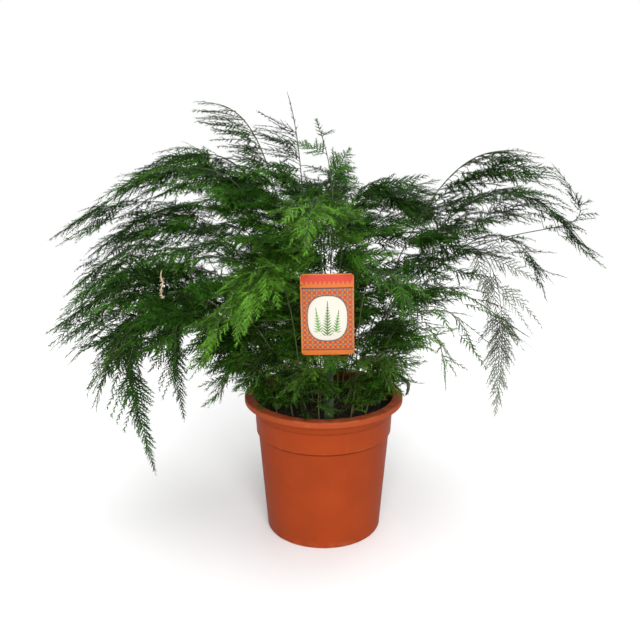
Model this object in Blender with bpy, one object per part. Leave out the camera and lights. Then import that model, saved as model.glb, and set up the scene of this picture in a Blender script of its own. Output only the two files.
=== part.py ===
"""Potted asparagus fern: a plastic nursery pot of soil, a plant label and a clump of arching stems.

Run it with blender --background --python part.py, or from Blender's text editor. It works in
metres, +Z up, with the origin on the pot's axis in the underside of its base.
"""

import math
import random
from collections import namedtuple

import bmesh
import bpy
from mathutils import Matrix, Vector
from mathutils.bvhtree import BVHTree

UP = Vector((0, 0, 1))
GAP = 0.0003

# Pot
RIM_Z = 0.188
LIP_R = 0.105
LIP_DROP = 0.0075
LIP_WALL = 0.0016
LIP_EDGE = 0.0010
LIP_TAPER = 0.0002
FLANGE_IN_R = 0.0920
COLLAR_TOP_R = 0.0925
COLLAR_LOW_R = 0.0900
COLLAR_INNER_DROP = 0.0015
STEP_Z = 0.139
STEP_DROP = 0.0020
INNER_STEP_UP = 0.0020
WALL_TOP_R = 0.0875
BASE_R = 0.0770
BASE_EDGE = 0.0025
WALL = 0.0018
BASE_THICK = 0.0025
POT_SIDES = 32
DRAIN_HOLES = 5
DRAIN_RING_R = 0.048
DRAIN_HOLE_R = 0.006
DRAIN_CUT = 0.003
HOLE_SIDES = 6

# Soil
SOIL_MID_Z = 0.174
SOIL_EDGE_Z = 0.169
SOIL_R = 0.0900
SOIL_BEND_R = 0.060
STEM_HOLE_R = 0.0024
STEM_HOLE_DEPTH = 0.020
STEM_HOLE_CUT = 0.012
SLOT_GAP = 0.0006

# Plant label: a card on a stake
LABEL_WIDE = 0.065
LABEL_TALL = 0.101
LABEL_THICK = 0.0010
LABEL_CORNER = 0.004
CORNER_STEPS = 3
LABEL_FOOT = Vector((0.0070, -0.0680, 0.150))
LABEL_CARD_UP = 0.112
STAKE_WIDE = 0.012
STAKE_POINT = 0.010
LABEL_LEAN = math.radians(-2.0)
LABEL_ROLL = math.radians(-1.0)
LABEL_SIGHT = Vector((0, -0.200, 0.055))
LABEL_SIGHT_IN = 0.004

# Stems: name, foot on the soil, tip, the two handles of the arch as (share of the way to the tip,
# height), the leafless share of the stem, the longest spray and the number of sprays
STEM_SIZES = (
    ("left_high", (-0.040, 0.010), (-0.356, 0.020, 0.390), (0.05, 0.62), (0.55, 0.475), 0.26, 0.115, 7),
    ("left_mid", (-0.052, -0.008), (-0.357, -0.020, 0.275), (0.15, 0.46), (0.64, 0.35), 0.24, 0.115, 7),
    ("left_rear", (-0.047, 0.026), (-0.362, 0.075, 0.300), (0.15, 0.505), (0.60, 0.405), 0.24, 0.115, 7),
    ("left_droop", (-0.066, 0.008), (-0.330, -0.030, 0.234), (0.15, 0.38), (0.68, 0.345), 0.22, 0.110, 7),
    ("left_lowest", (-0.034, -0.024), (-0.218, -0.055, 0.095), (0.50, 0.40), (1.45, 0.42), 0.28, 0.085, 7),
    ("left_hang_rear", (-0.064, 0.032), (-0.196, 0.045, 0.128), (0.30, 0.32), (1.32, 0.40), 0.26, 0.085, 6),
    ("left_hang_front", (-0.06, -0.018), (-0.278, -0.095, 0.196), (0.22, 0.34), (0.88, 0.38), 0.24, 0.095, 7),
    ("left_top", (-0.022, 0.022), (-0.275, 0.055, 0.435), (0.12, 0.54), (0.52, 0.545), 0.24, 0.110, 7),
    ("left_top_rear", (-0.030, 0.042), (-0.340, 0.125, 0.345), (0.12, 0.53), (0.60, 0.44), 0.24, 0.110, 6),
    ("peak_left", (-0.014, 0.002), (-0.150, -0.010, 0.560), (0.30, 0.48), (0.45, 0.57), 0.22, 0.090, 7),
    ("peak", (-0.006, 0.018), (-0.045, 0.020, 0.573), (0.50, 0.36), (0.40, 0.50), 0.18, 0.120, 7),
    ("peak_rear", (0.004, 0.036), (-0.010, 0.110, 0.540), (0.25, 0.40), (0.60, 0.52), 0.22, 0.120, 6),
    ("shoulder", (0.020, 0.014), (0.120, 0.055, 0.412), (-0.10, 0.46), (0.24, 0.516), 0.20, 0.110, 7),
    ("right_far", (0.032, 0.002), (0.289, 0.030, 0.488), (0.30, 0.52), (1.63, 0.32), 0.66, 0.032, 6),
    ("right_high", (0.028, -0.014), (0.250, -0.045, 0.492), (0.30, 0.42), (0.60, 0.55), 0.24, 0.105, 7),
    ("right_mid", (0.044, -0.004), (0.345, -0.012, 0.366), (0.25, 0.46), (0.62, 0.53), 0.30, 0.100, 7),
    ("right_hang", (0.034, 0.022), (0.234, 0.014, 0.144), (0.36, 0.42), (1.15, 0.50), 0.50, 0.095, 6),
    ("right_low", (0.052, 0.012), (0.304, 0.055, 0.300), (0.30, 0.40), (0.80, 0.47), 0.26, 0.090, 6),
    ("right_low_front", (0.050, -0.022), (0.254, -0.060, 0.282), (0.22, 0.42), (0.60, 0.33), 0.22, 0.090, 6),
    ("right_drop", (0.064, -0.004), (0.160, -0.016, 0.196), (0.20, 0.29), (0.95, 0.34), 0.18, 0.065, 4),
    ("front_left", (-0.028, -0.030), (-0.095, -0.195, 0.320), (0.15, 0.39), (0.70, 0.44), 0.16, 0.105, 7),
    ("front", (-0.004, -0.012), (-0.020, -0.200, 0.412), (0.06, 0.48), (0.60, 0.51), 0.20, 0.100, 6),
    ("front_right", (0.038, -0.034), (0.096, -0.180, 0.330), (0.15, 0.38), (0.70, 0.43), 0.16, 0.100, 6),
    ("front_far_left", (-0.040, -0.042), (-0.138, -0.125, 0.262), (0.20, 0.33), (0.85, 0.37), 0.16, 0.085, 5),
    ("low_left", (-0.020, -0.058), (-0.080, -0.116, 0.240), (0.20, 0.26), (0.75, 0.30), 0.14, 0.065, 4),
    ("low_right", (0.034, -0.056), (0.078, -0.110, 0.236), (0.20, 0.26), (0.75, 0.295), 0.14, 0.065, 4),
    ("low_mid", (-0.006, -0.052), (-0.034, -0.104, 0.226), (0.15, 0.24), (0.75, 0.275), 0.18, 0.060, 3),
    ("low_rim_left", (-0.060, -0.036), (-0.130, -0.068, 0.200), (0.20, 0.25), (0.85, 0.29), 0.20, 0.060, 4),
    ("front_far_right", (0.054, -0.040), (0.170, -0.140, 0.290), (0.18, 0.33), (0.75, 0.38), 0.16, 0.090, 5),
    ("back_left", (-0.018, 0.054), (-0.150, 0.220, 0.390), (0.15, 0.45), (0.60, 0.54), 0.20, 0.115, 6),
    ("back", (0.006, 0.058), (0.010, 0.270, 0.370), (0.15, 0.45), (0.55, 0.525), 0.20, 0.115, 6),
    ("back_right", (0.026, 0.046), (0.165, 0.215, 0.375), (0.15, 0.44), (0.60, 0.505), 0.20, 0.115, 6),
    ("back_low_left", (-0.032, 0.066), (-0.130, 0.225, 0.215), (0.18, 0.32), (0.85, 0.39), 0.18, 0.095, 5),
    ("back_low_right", (0.036, 0.066), (0.130, 0.230, 0.225), (0.18, 0.32), (0.85, 0.39), 0.18, 0.095, 5),
)
FRESH_STEMS = "front_left front front_far_left low_right low_mid right_drop".split()
GREY_STEMS = ["right_hang"]
Stem = namedtuple("Stem", "name foot tip rise over bare spread sprays tint")
STEM_FOOT_R = 0.0013
STEM_TIP_R = 0.0007
STEM_SWAY = 0.018
STRAIGHT_FOOT = 0.006
TANGENT_STEP = 0.004
BARE_CELLS = 3
SPRAY_ZONE_CELLS = 4
TIP_START = 0.84
TIP_CELLS = 4
TIP_LEAFLET = 0.026
TIP_LEAFLET_SHRINK = 0.7
LAST_SPRAY = 0.86

# Sprays
RIB_WIDE = 0.0006
RIB_DEEP = 0.0007
RIB_TIP_SHARE = 0.75
LEAFLET_PITCH = 0.023
FEWEST_PAIRS = 3
MOST_PAIRS = 4
LEAFLET_SHARE = 0.36
LEAFLET_END_SHARE = 0.25
FIRST_LEAFLET_SHARE = 0.85
LEAFLET_SWEEP = math.radians(40)
LEAFLET_DROOP = 0.12
SWEEP_LOW = math.radians(54)
SWEEP_HIGH = math.radians(20)
SWEEP_SPREAD = math.radians(9)
ROLL_SPREAD = math.radians(28)
TILT_SPREAD = math.radians(14)
SPRAY_DROOP = 0.22
SPRAY_CURL = 0.14
FIRST_SPRAY_SHARE = 0.78
LONGEST_SPRAY_AT = 0.2
TIP_SHRINK = 0.58
LENGTH_SPREAD = 0.1
FORWARD_LEAN = 0.3
UPRIGHT_LEAN = 1.3
LEVEL_PLUMES = 0.8
# Sprays of these hanging stems stand out to the left and right, as seen from the label's side
TURNED_STEMS = "stem_left_lowest stem_left_hang_rear stem_right_hang".split()
SPRAY_TURN = math.radians(75)
CLEARANCE = 0.0016
TRY_LENGTHS = (1.0, 0.82, 0.66, 0.5, 0.38)
TRY_TILTS = (0, 9, -9, 18, -18, 27, -27)

# Young shoot, over the right side of the rim: its middle line and its thickness
SHOOT_FOOT = (0.072, -0.016)
SHOOT_LINE = (
    (0.076, -0.017, 0.196),
    (0.084, -0.019, 0.214),
    (0.094, -0.020, 0.2195),
    (0.104, -0.020, 0.2155),
    (0.1100, -0.020, 0.207),
    (0.1100, -0.020, 0.198),
    (0.1072, -0.020, 0.1915),
)
SHOOT_R = 0.0015
SHOOT_TIP_R = 0.0006
SHOOT_SCALES = (2, 3, 4, 5)
SCALE_LONG = 0.0075

COLOURS = {
    "pot": ((0.48, 0.085, 0.028), 0.55),
    "soil": ((0.018, 0.012, 0.009), 0.95),
    "label": ((0.75, 0.17, 0.02), 0.45),
    "fresh": ((0.085, 0.215, 0.025), 0.6),
    "deep": ((0.026, 0.095, 0.018), 0.6),
    "grey": ((0.060, 0.105, 0.055), 0.65),
    "shoot": ((0.045, 0.055, 0.035), 0.6),
}


def tint_of(name):
    """The youngest stems are a fresh green, a few faded ones are grey."""
    if name in FRESH_STEMS:
        return "fresh"
    return "grey" if name in GREY_STEMS else "deep"


STEMS = tuple(Stem("stem_" + name, *sizes, tint_of(name)) for name, *sizes in STEM_SIZES)


def clear_scene():
    for obj in list(bpy.data.objects):
        bpy.data.objects.remove(obj, do_unlink=True)


def finish_material(kind):
    """The Principled material of one kind of piece."""
    found = bpy.data.materials.get(kind)
    if found:
        return found
    colour, roughness = COLOURS[kind]
    material = bpy.data.materials.new(kind)
    material.use_nodes = True
    shader = material.node_tree.nodes["Principled BSDF"]
    shader.inputs["Base Color"].default_value = (*colour, 1)
    shader.inputs["Roughness"].default_value = roughness
    shader.inputs["Metallic"].default_value = 0
    return material


def new_object(name, verts, faces, kind, collection=None):
    """An object with this mesh, its faces turned outwards."""
    mesh = bpy.data.meshes.new(name)
    bm = bmesh.new()
    corners = [bm.verts.new(v) for v in verts]
    for face in faces:
        bm.faces.new([corners[i] for i in face])
    bmesh.ops.recalc_face_normals(bm, faces=bm.faces)
    bm.to_mesh(mesh)
    bm.free()
    obj = bpy.data.objects.new(name, mesh)
    mesh.materials.append(finish_material(kind))
    (collection or bpy.context.scene.collection).objects.link(obj)
    return obj


def spun(name, profile, sides, kind):
    """An object turned round Z from an outline that starts and ends on the axis."""
    mesh = bpy.data.meshes.new(name)
    bm = bmesh.new()
    points = [bm.verts.new((r, 0, z)) for r, z in profile]
    edges = [bm.edges.new(pair) for pair in zip(points, points[1:])]
    bmesh.ops.spin(
        bm, geom=points + edges, cent=(0, 0, 0), axis=UP, angle=math.tau, steps=sides, use_merge=True
    )
    bmesh.ops.remove_doubles(bm, verts=bm.verts, dist=1e-6)
    bmesh.ops.recalc_face_normals(bm, faces=bm.faces)
    bm.to_mesh(mesh)
    bm.free()
    mesh.shade_smooth()
    mesh.set_sharp_from_angle(angle=math.radians(30))
    obj = bpy.data.objects.new(name, mesh)
    mesh.materials.append(finish_material(kind))
    bpy.context.scene.collection.objects.link(obj)
    return obj


def cutter_collection(name):
    made = bpy.data.collections.new(name)
    bpy.context.scene.collection.children.link(made)
    return made


def rod(name, foot, end, radius, collection):
    """A straight rod between two points, used as a cutter."""
    axis = (end - foot).normalized()
    across = axis.orthogonal().normalized()
    other = axis.cross(across)
    verts = []
    for centre in (foot, end):
        for i in range(HOLE_SIDES):
            turn = math.tau * i / HOLE_SIDES
            verts.append(centre + (across * math.cos(turn) + other * math.sin(turn)) * radius)
    faces = [tuple(range(HOLE_SIDES)), tuple(range(HOLE_SIDES, 2 * HOLE_SIDES))]
    for i in range(HOLE_SIDES):
        j = (i + 1) % HOLE_SIDES
        faces.append((i, j, HOLE_SIDES + j, HOLE_SIDES + i))
    return new_object(name, verts, faces, "soil", collection)


def cut(target, collection, operation="DIFFERENCE"):
    """Applies one Boolean of the whole collection to the target, then removes the collection."""
    for obj in collection.objects:
        obj.hide_render = True
        obj.display_type = "WIRE"
    boolean = target.modifiers.new("cut", "BOOLEAN")
    boolean.operation = operation
    boolean.operand_type = "COLLECTION"
    boolean.collection = collection
    boolean.solver = "EXACT"
    graph = bpy.context.evaluated_depsgraph_get()
    mesh = bpy.data.meshes.new_from_object(target.evaluated_get(graph), depsgraph=graph)
    target.modifiers.clear()
    target.data = mesh
    for obj in list(collection.objects):
        bpy.data.objects.remove(obj, do_unlink=True)
    bpy.data.collections.remove(collection)


def build_pot():
    """A turned pot: flanged lip, collar, step, tapered wall and a base with drain holes."""
    under_flange = RIM_Z - LIP_WALL
    outside = [
        (FLANGE_IN_R, RIM_Z),
        (LIP_R - LIP_EDGE, RIM_Z),
        (LIP_R, RIM_Z - LIP_EDGE),
        (LIP_R - LIP_TAPER, RIM_Z - LIP_DROP),
        (LIP_R - LIP_WALL, RIM_Z - LIP_DROP),
        (LIP_R - LIP_WALL, under_flange),
        (COLLAR_TOP_R, under_flange),
        (COLLAR_LOW_R, STEP_Z),
        (WALL_TOP_R, STEP_Z - STEP_DROP),
        (BASE_R, BASE_EDGE),
        (BASE_R - BASE_EDGE, 0),
        (0, 0),
    ]
    inside = [
        (0, BASE_THICK),
        (BASE_R - BASE_EDGE - WALL, BASE_THICK),
        (WALL_TOP_R - WALL, STEP_Z - STEP_DROP),
        (COLLAR_LOW_R - WALL, STEP_Z + INNER_STEP_UP),
        (COLLAR_TOP_R - WALL, RIM_Z - COLLAR_INNER_DROP),
        (FLANGE_IN_R, RIM_Z),
    ]
    # The turned outline runs from the axis under the base, up outside and down inside.
    pot = spun("pot", outside[::-1] + inside[::-1][1:], POT_SIDES, "pot")
    drains = cutter_collection("drains")
    for i in range(DRAIN_HOLES):
        turn = math.tau * (i + 0.5) / DRAIN_HOLES
        place = Vector((DRAIN_RING_R * math.cos(turn), DRAIN_RING_R * math.sin(turn), 0))
        rod("drain", place - UP * DRAIN_CUT, place + UP * (BASE_THICK + DRAIN_CUT), DRAIN_HOLE_R, drains)
    cut(pot, drains)
    return pot


def soil_height(x, y):
    """The height of the slightly domed soil."""
    share = min(1, math.hypot(x, y) / SOIL_R)
    return SOIL_MID_Z - (SOIL_MID_Z - SOIL_EDGE_Z) * share * share


def build_soil(feet):
    """The soil, with a plain hole along each stem's foot and a slot for the label's stake."""
    low = BASE_THICK + GAP
    profile = [
        (0, low),
        (BASE_R - BASE_EDGE - WALL - GAP, low),
        (WALL_TOP_R - WALL - GAP, STEP_Z - STEP_DROP),
        (COLLAR_LOW_R - WALL - GAP, STEP_Z + INNER_STEP_UP),
        (SOIL_R - GAP, SOIL_EDGE_Z),
        (SOIL_BEND_R, soil_height(SOIL_BEND_R, 0)),
        (0, SOIL_MID_Z),
    ]
    soil = spun("soil", profile, POT_SIDES, "soil")
    holes = cutter_collection("holes")
    for foot, way in feet:
        rod("hole", foot - way * STEM_HOLE_DEPTH, foot + way * STEM_HOLE_CUT, STEM_HOLE_R, holes)
    slot = new_object("slot", *label_outline(SLOT_GAP), "soil", holes)
    slot.matrix_world = label_place()
    cut(soil, holes)
    return soil


def label_place():
    """Where the label stands: the middle of its stake's point."""
    return (
        Matrix.Translation(LABEL_FOOT)
        @ Matrix.Rotation(LABEL_LEAN, 4, "X")
        @ Matrix.Rotation(LABEL_ROLL, 4, "Y")
    )


def label_outline(grow=0.0):
    """The label's flat outline pushed out in Y, with rounded card corners; grow widens it all round."""
    half = LABEL_WIDE / 2 + grow
    stake = STAKE_WIDE / 2 + grow
    low, high = LABEL_CARD_UP, LABEL_CARD_UP + LABEL_TALL
    side = [(0, -grow), (stake, STAKE_POINT), (stake, low - grow)]
    for x, z, start in ((half, low, -90), (half, high, 0)):
        centre_z = z + LABEL_CORNER if start < 0 else z - LABEL_CORNER
        for step in range(CORNER_STEPS + 1):
            turn = math.radians(start + 90 * step / CORNER_STEPS)
            side.append(
                (x - LABEL_CORNER + LABEL_CORNER * math.cos(turn), centre_z + LABEL_CORNER * math.sin(turn))
            )
    outline = side + [(-x, z) for x, z in reversed(side) if x > 0]
    thick = LABEL_THICK / 2 + grow
    verts = [Vector((x, -thick, z)) for x, z in outline] + [Vector((x, thick, z)) for x, z in outline]
    count = len(outline)
    faces = [tuple(range(count)), tuple(range(2 * count - 1, count - 1, -1))]
    faces += [(i, (i + 1) % count, count + (i + 1) % count, count + i) for i in range(count)]
    return verts, faces


def build_label():
    verts, faces = label_outline()
    place = label_place()
    return new_object("plant_label", [place @ v for v in verts], faces, "label")


def label_sight():
    """The space in front of the card, which the sprays leave clear so that it can be seen."""
    half = LABEL_WIDE / 2 - LABEL_SIGHT_IN
    card = [(-half, LABEL_CARD_UP), (half, LABEL_CARD_UP), (half, LABEL_CARD_UP + LABEL_TALL)]
    card.append((-half, LABEL_CARD_UP + LABEL_TALL))
    near = [label_place() @ Vector((x, -LABEL_THICK, z)) for x, z in card]
    verts = near + [v + LABEL_SIGHT for v in near]
    faces = [(0, 1, 2, 3), (7, 6, 5, 4)] + [(i, (i + 1) % 4, 4 + (i + 1) % 4, 4 + i) for i in range(4)]
    return verts, faces


def bezier(stem, t):
    """A point on a stem's arch, from its foot at 0 to its tip at 1."""
    foot = Vector((*stem.foot, soil_height(*stem.foot)))
    tip = Vector(stem.tip)
    first = foot.lerp(tip, stem.rise[0])
    first.z = stem.rise[1]
    second = foot.lerp(tip, stem.over[0])
    second.z = stem.over[1]
    s = 1 - t
    return foot * s**3 + first * (3 * s * s * t) + second * (3 * s * t * t) + tip * t**3


def heading(stem):
    """The level direction in which a stem leans."""
    return Vector((stem.tip[0] - stem.foot[0], stem.tip[1] - stem.foot[1], 0)).normalized()


def stem_point(stem, t):
    """The arch with a gentle sideways sway, none at either end."""
    sway = random.Random(stem.name).uniform(-STEM_SWAY, STEM_SWAY)
    return bezier(stem, t) + heading(stem).cross(UP) * (sway * math.sin(math.pi * t) ** 2)


def tangent(stem, t):
    before, after = max(0, t - TANGENT_STEP), min(1, t + TANGENT_STEP)
    return (stem_point(stem, after) - stem_point(stem, before)).normalized()


def stations(stem):
    """The shares of the way at which a stem's straight stretches meet."""
    shares = [0.0, STRAIGHT_FOOT]
    shares += [stem.bare * (i + 1) / BARE_CELLS for i in range(BARE_CELLS)]
    leafy = TIP_START - stem.bare
    shares += [stem.bare + leafy * (i + 1) / SPRAY_ZONE_CELLS for i in range(SPRAY_ZONE_CELLS)]
    shares += [TIP_START + (1 - TIP_START) * (i + 1) / (TIP_CELLS + 1) for i in range(TIP_CELLS + 1)]
    return shares


def chord_point(stem, t):
    """The point on the stem's straight stretch at this share of the way."""
    shares = stations(stem)
    i = max(k for k in range(len(shares) - 1) if shares[k] <= t)
    start, end = stem_point(stem, shares[i]), stem_point(stem, shares[i + 1])
    return start.lerp(end, (t - shares[i]) / (shares[i + 1] - shares[i]))


def feather(points, face_way, wide, deep, reach):
    """A closed three-edged rib along the points, ridge up and flat below, with a pair of pointed
    leaflets on each stretch whose reach isn't 0. face_way is the way its ridge faces at a point."""
    verts, faces = [], []
    last = len(points) - 1
    ways = [(points[min(i + 1, last)] - points[max(i - 1, 0)]).normalized() for i in range(last + 1)]
    sides = []
    for i, point in enumerate(points[:-1]):
        up = face_way[i] - ways[i] * face_way[i].dot(ways[i])
        up.normalize()
        side = ways[i].cross(up)
        sides.append((up, side))
        low = point - up * (deep[i] / 2)
        verts += [point + up * deep[i], low + side * wide[i], low - side * wide[i]]
    end = len(verts)
    verts.append(points[last])
    faces.append((0, 1, 2))
    for i in range(last - 1):
        ridge, right, left = (3 * i + k for k in range(3))
        faces.append((right, left, left + 3, right + 3))
        if not reach[i]:
            faces += [(ridge, right, right + 3, ridge + 3), (left, ridge, ridge + 3, left + 3)]
            continue
        up, side = sides[i]
        middle = points[i].lerp(points[i + 1], 0.5)
        for edge, turn in ((right, 1), (left, -1)):
            out = side * (turn * math.sin(LEAFLET_SWEEP)) + ways[i] * math.cos(LEAFLET_SWEEP)
            tip = len(verts)
            verts.append(middle - up * (deep[i] / 2) + (out - up * LEAFLET_DROOP) * reach[i])
            faces += [(ridge, ridge + 3, tip), (ridge + 3, edge + 3, tip), (tip, edge, ridge)]
            faces.append((edge, edge + 3, tip))
    ring = end - 3
    faces += [(ring + k, ring + (k + 1) % 3, end) for k in range(3)]
    return verts, faces


def spray_length(stem, share, rng):
    """How long the spray is at this share of the leafy stretch: a triangular frond."""
    start = FIRST_SPRAY_SHARE + (1 - FIRST_SPRAY_SHARE) * min(1, share / LONGEST_SPRAY_AT)
    chance = rng.uniform(1 - LENGTH_SPREAD, 1 + LENGTH_SPREAD)
    return stem.spread * start * (1 - TIP_SHRINK * share) * chance


def spray_frame(stem, number):
    """A spray's root, direction, facing, forward way and length, before it is fitted clear."""
    rng = random.Random(f"{stem.name} {number}")
    share = (number + 0.5) / stem.sprays
    t = stem.bare + (LAST_SPRAY - stem.bare) * share
    along, level = tangent(stem, t), heading(stem)
    turn = 1 if number % 2 else -1
    side = level.cross(UP) * turn
    if stem.name in TURNED_STEMS:
        side = Matrix.Rotation(SPRAY_TURN, 3, along) @ side
    forward = (along + level * (FORWARD_LEAN + UPRIGHT_LEAN * max(0.0, along.z))).normalized()
    sweep = SWEEP_LOW + (SWEEP_HIGH - SWEEP_LOW) * share + rng.uniform(-1, 1) * SWEEP_SPREAD
    way = forward * math.cos(sweep) + side * math.sin(sweep)
    up = way.cross(forward) * turn
    up.normalize()
    if up.z < 0:
        up.negate()
    up = (up + UP * (LEVEL_PLUMES * abs(level.x) * (1 - along.z**2))).normalized()
    up = Matrix.Rotation(rng.uniform(-1, 1) * ROLL_SPREAD, 3, way) @ up
    tilt = rng.uniform(-1, 1) * TILT_SPREAD
    return chord_point(stem, t), way, up, forward, tilt, spray_length(stem, share, rng)


def spray_points(frame, length, tilt, cells):
    """Points along a spray's rib, which droops and curls forward, and the facing at each."""
    root, way, up, forward = frame[:4]
    out = way * math.cos(tilt) + up * math.sin(tilt)
    facing = up * math.cos(tilt) - way * math.sin(tilt)
    points = []
    for i in range(cells + 1):
        u = i / cells
        bend = forward * (SPRAY_CURL * u * u) - UP * (SPRAY_DROOP * u * u)
        points.append(root + (out * u + bend) * length)
    return points, [facing] * (cells + 1)


def spray_mesh(frame, length, tilt):
    pairs = max(FEWEST_PAIRS, min(MOST_PAIRS, round(length / LEAFLET_PITCH)))
    cells = pairs + 2
    points, facing = spray_points(frame, length, tilt, cells)
    thin = [1 - (1 - RIB_TIP_SHARE) * i / cells for i in range(cells + 1)]
    reach = [0.0] * (cells + 1)
    for i in range(1, pairs + 1):
        u = (i - 0.5) / pairs
        taper = LEAFLET_END_SHARE + (1 - LEAFLET_END_SHARE) * (1 - u)
        reach[i] = LEAFLET_SHARE * length * taper * (1.0 if i > 1 else FIRST_LEAFLET_SHARE)
    return feather(points, facing, [RIB_WIDE * s for s in thin], [RIB_DEEP * s for s in thin], reach)


def stem_mesh(stem):
    """The stem from the bottom of its hole, with the leaflets of its own tip."""
    shares = stations(stem)
    points = [stem_point(stem, t) for t in shares]
    points[0] -= tangent(stem, 0) * (STEM_HOLE_DEPTH - GAP)
    across = heading(stem).cross(UP)
    facing = [across.cross(tangent(stem, t)) for t in shares]
    radius = [STEM_FOOT_R + (STEM_TIP_R - STEM_FOOT_R) * t for t in shares]
    reach = [0.0] * len(points)
    for i in range(TIP_CELLS):
        reach[len(points) - 2 - TIP_CELLS + i] = TIP_LEAFLET * (1 - TIP_LEAFLET_SHRINK * i / TIP_CELLS)
    return feather(points, facing, radius, radius, reach)


class Thicket:
    """The shapes placed so far, so that each new one is tested against its neighbours."""

    def __init__(self):
        self.placed = []

    def add(self, owner, verts, faces, fused=False):
        """Keeps a shape. A fused one is its owner's stem, which the owner's sprays grow from."""
        tree = BVHTree.FromPolygons(verts, faces)
        self.placed.append((owner, fused, *self.reach(verts), tree, verts))

    def reach(self, verts):
        low = [min(v[k] for v in verts) - CLEARANCE for k in range(3)]
        high = [max(v[k] for v in verts) + CLEARANCE for k in range(3)]
        return low, high

    def clear(self, owner, verts, faces):
        """True where the shape crosses nothing, and keeps the clearance to other owners' shapes."""
        tree = BVHTree.FromPolygons(verts, faces)
        low, high = self.reach(verts)
        for other, fused, other_low, other_high, other_tree, other_verts in self.placed:
            if fused and other == owner:
                continue
            if any(low[k] > other_high[k] or high[k] < other_low[k] for k in range(3)):
                continue
            if tree.overlap(other_tree):
                return False
            if other == owner:
                continue
            if any(other_tree.find_nearest(v, CLEARANCE)[0] for v in verts):
                return False
            if any(tree.find_nearest(v, CLEARANCE)[0] for v in other_verts):
                return False
        return True


def grown(thicket, stems):
    """For each stem, its sprays as (frame, length, tilt), bent or shortened clear of their neighbours."""
    for stem in stems:
        thicket.add(stem.name, *stem_mesh(stem), fused=True)
    sprays = {stem.name: [] for stem in stems}
    for number in range(max(stem.sprays for stem in stems)):
        for stem in stems:
            if number >= stem.sprays:
                continue
            frame = spray_frame(stem, number)
            for shorten, lean in ((s, a) for s in TRY_LENGTHS for a in TRY_TILTS):
                length, tilt = frame[5] * shorten, frame[4] + math.radians(lean)
                verts, faces = spray_mesh(frame, length, tilt)
                if thicket.clear(stem.name, verts, faces):
                    thicket.add(stem.name, verts, faces)
                    sprays[stem.name].append((frame, length, tilt))
                    break
    return sprays


def build_stem(stem, sprays):
    """One node: the stem with its sprays fused to it."""
    obj = new_object(stem.name, *stem_mesh(stem), stem.tint)
    group = cutter_collection(stem.name + "_sprays")
    for frame, length, tilt in sprays:
        new_object("spray", *spray_mesh(frame, length, tilt), stem.tint, group)
    cut(obj, group, "UNION")
    return obj


def shoot_mesh():
    """The young shoot: a thin nodding stem with small pointed scales."""
    foot = Vector((*SHOOT_FOOT, soil_height(*SHOOT_FOOT)))
    bends = [Vector(point) for point in SHOOT_LINE]
    way = (bends[0] - foot).normalized()
    points = [foot - way * (STEM_HOLE_DEPTH - GAP), foot + way * STRAIGHT_FOOT] + bends
    last = len(points) - 1
    radius = [SHOOT_R + (SHOOT_TIP_R - SHOOT_R) * i / last for i in range(last + 1)]
    reach = [0.0] * (last + 1)
    for i in SHOOT_SCALES:
        reach[i] = SCALE_LONG
    facing = [Vector((0, -1, 0))] * (last + 1)
    return foot, way, feather(points, facing, radius, radius, reach)


def main():
    clear_scene()
    pot = build_pot()
    label = build_label()
    foot, way, (verts, faces) = shoot_mesh()
    shoot = new_object("young_shoot", verts, faces, "shoot")
    thicket = Thicket()
    for obj in (pot, label, shoot):
        faces = [tuple(face.vertices) for face in obj.data.polygons]
        thicket.add(obj.name, [v.co.copy() for v in obj.data.vertices], faces)
    thicket.add("label_sight", *label_sight())
    sprays = grown(thicket, STEMS)
    for stem in STEMS:
        build_stem(stem, sprays[stem.name])
    feet = [(stem_point(stem, 0), tangent(stem, 0)) for stem in STEMS]
    build_soil(feet + [(foot, way)])


main()
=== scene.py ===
"""Potted asparagus fern: fine needles, moulded plastic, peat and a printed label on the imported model.

It is laid out as an add-on and run as a script. Sizes are in metres, +Z up, with the origin on the
pot's axis in the underside of its base.
"""

import math
import random
import zlib
from collections import namedtuple

import bmesh
import bpy
import numpy as np
from mathutils import Matrix, Vector, noise


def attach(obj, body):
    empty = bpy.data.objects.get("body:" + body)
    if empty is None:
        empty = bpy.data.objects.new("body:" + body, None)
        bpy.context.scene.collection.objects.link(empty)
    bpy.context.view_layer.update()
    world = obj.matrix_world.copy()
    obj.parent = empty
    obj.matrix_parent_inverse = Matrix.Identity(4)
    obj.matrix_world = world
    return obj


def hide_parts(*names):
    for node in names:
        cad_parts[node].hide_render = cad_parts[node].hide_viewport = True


bl_info = {
    "name": "Potted asparagus fern",
    "version": (1, 0, 0),
    "blender": (4, 5, 0),
    "location": "3D View > Sidebar > Fern",
    "description": "Builds the fine look of a potted asparagus fern round its packed model",
    "category": "Object",
}

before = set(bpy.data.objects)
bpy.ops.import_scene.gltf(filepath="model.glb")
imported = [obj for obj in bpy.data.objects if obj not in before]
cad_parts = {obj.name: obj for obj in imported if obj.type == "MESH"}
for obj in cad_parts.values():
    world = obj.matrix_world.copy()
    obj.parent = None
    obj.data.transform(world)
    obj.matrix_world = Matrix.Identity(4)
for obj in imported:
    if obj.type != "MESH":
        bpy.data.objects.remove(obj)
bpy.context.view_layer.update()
UP = Vector((0, 0, 1))

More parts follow.
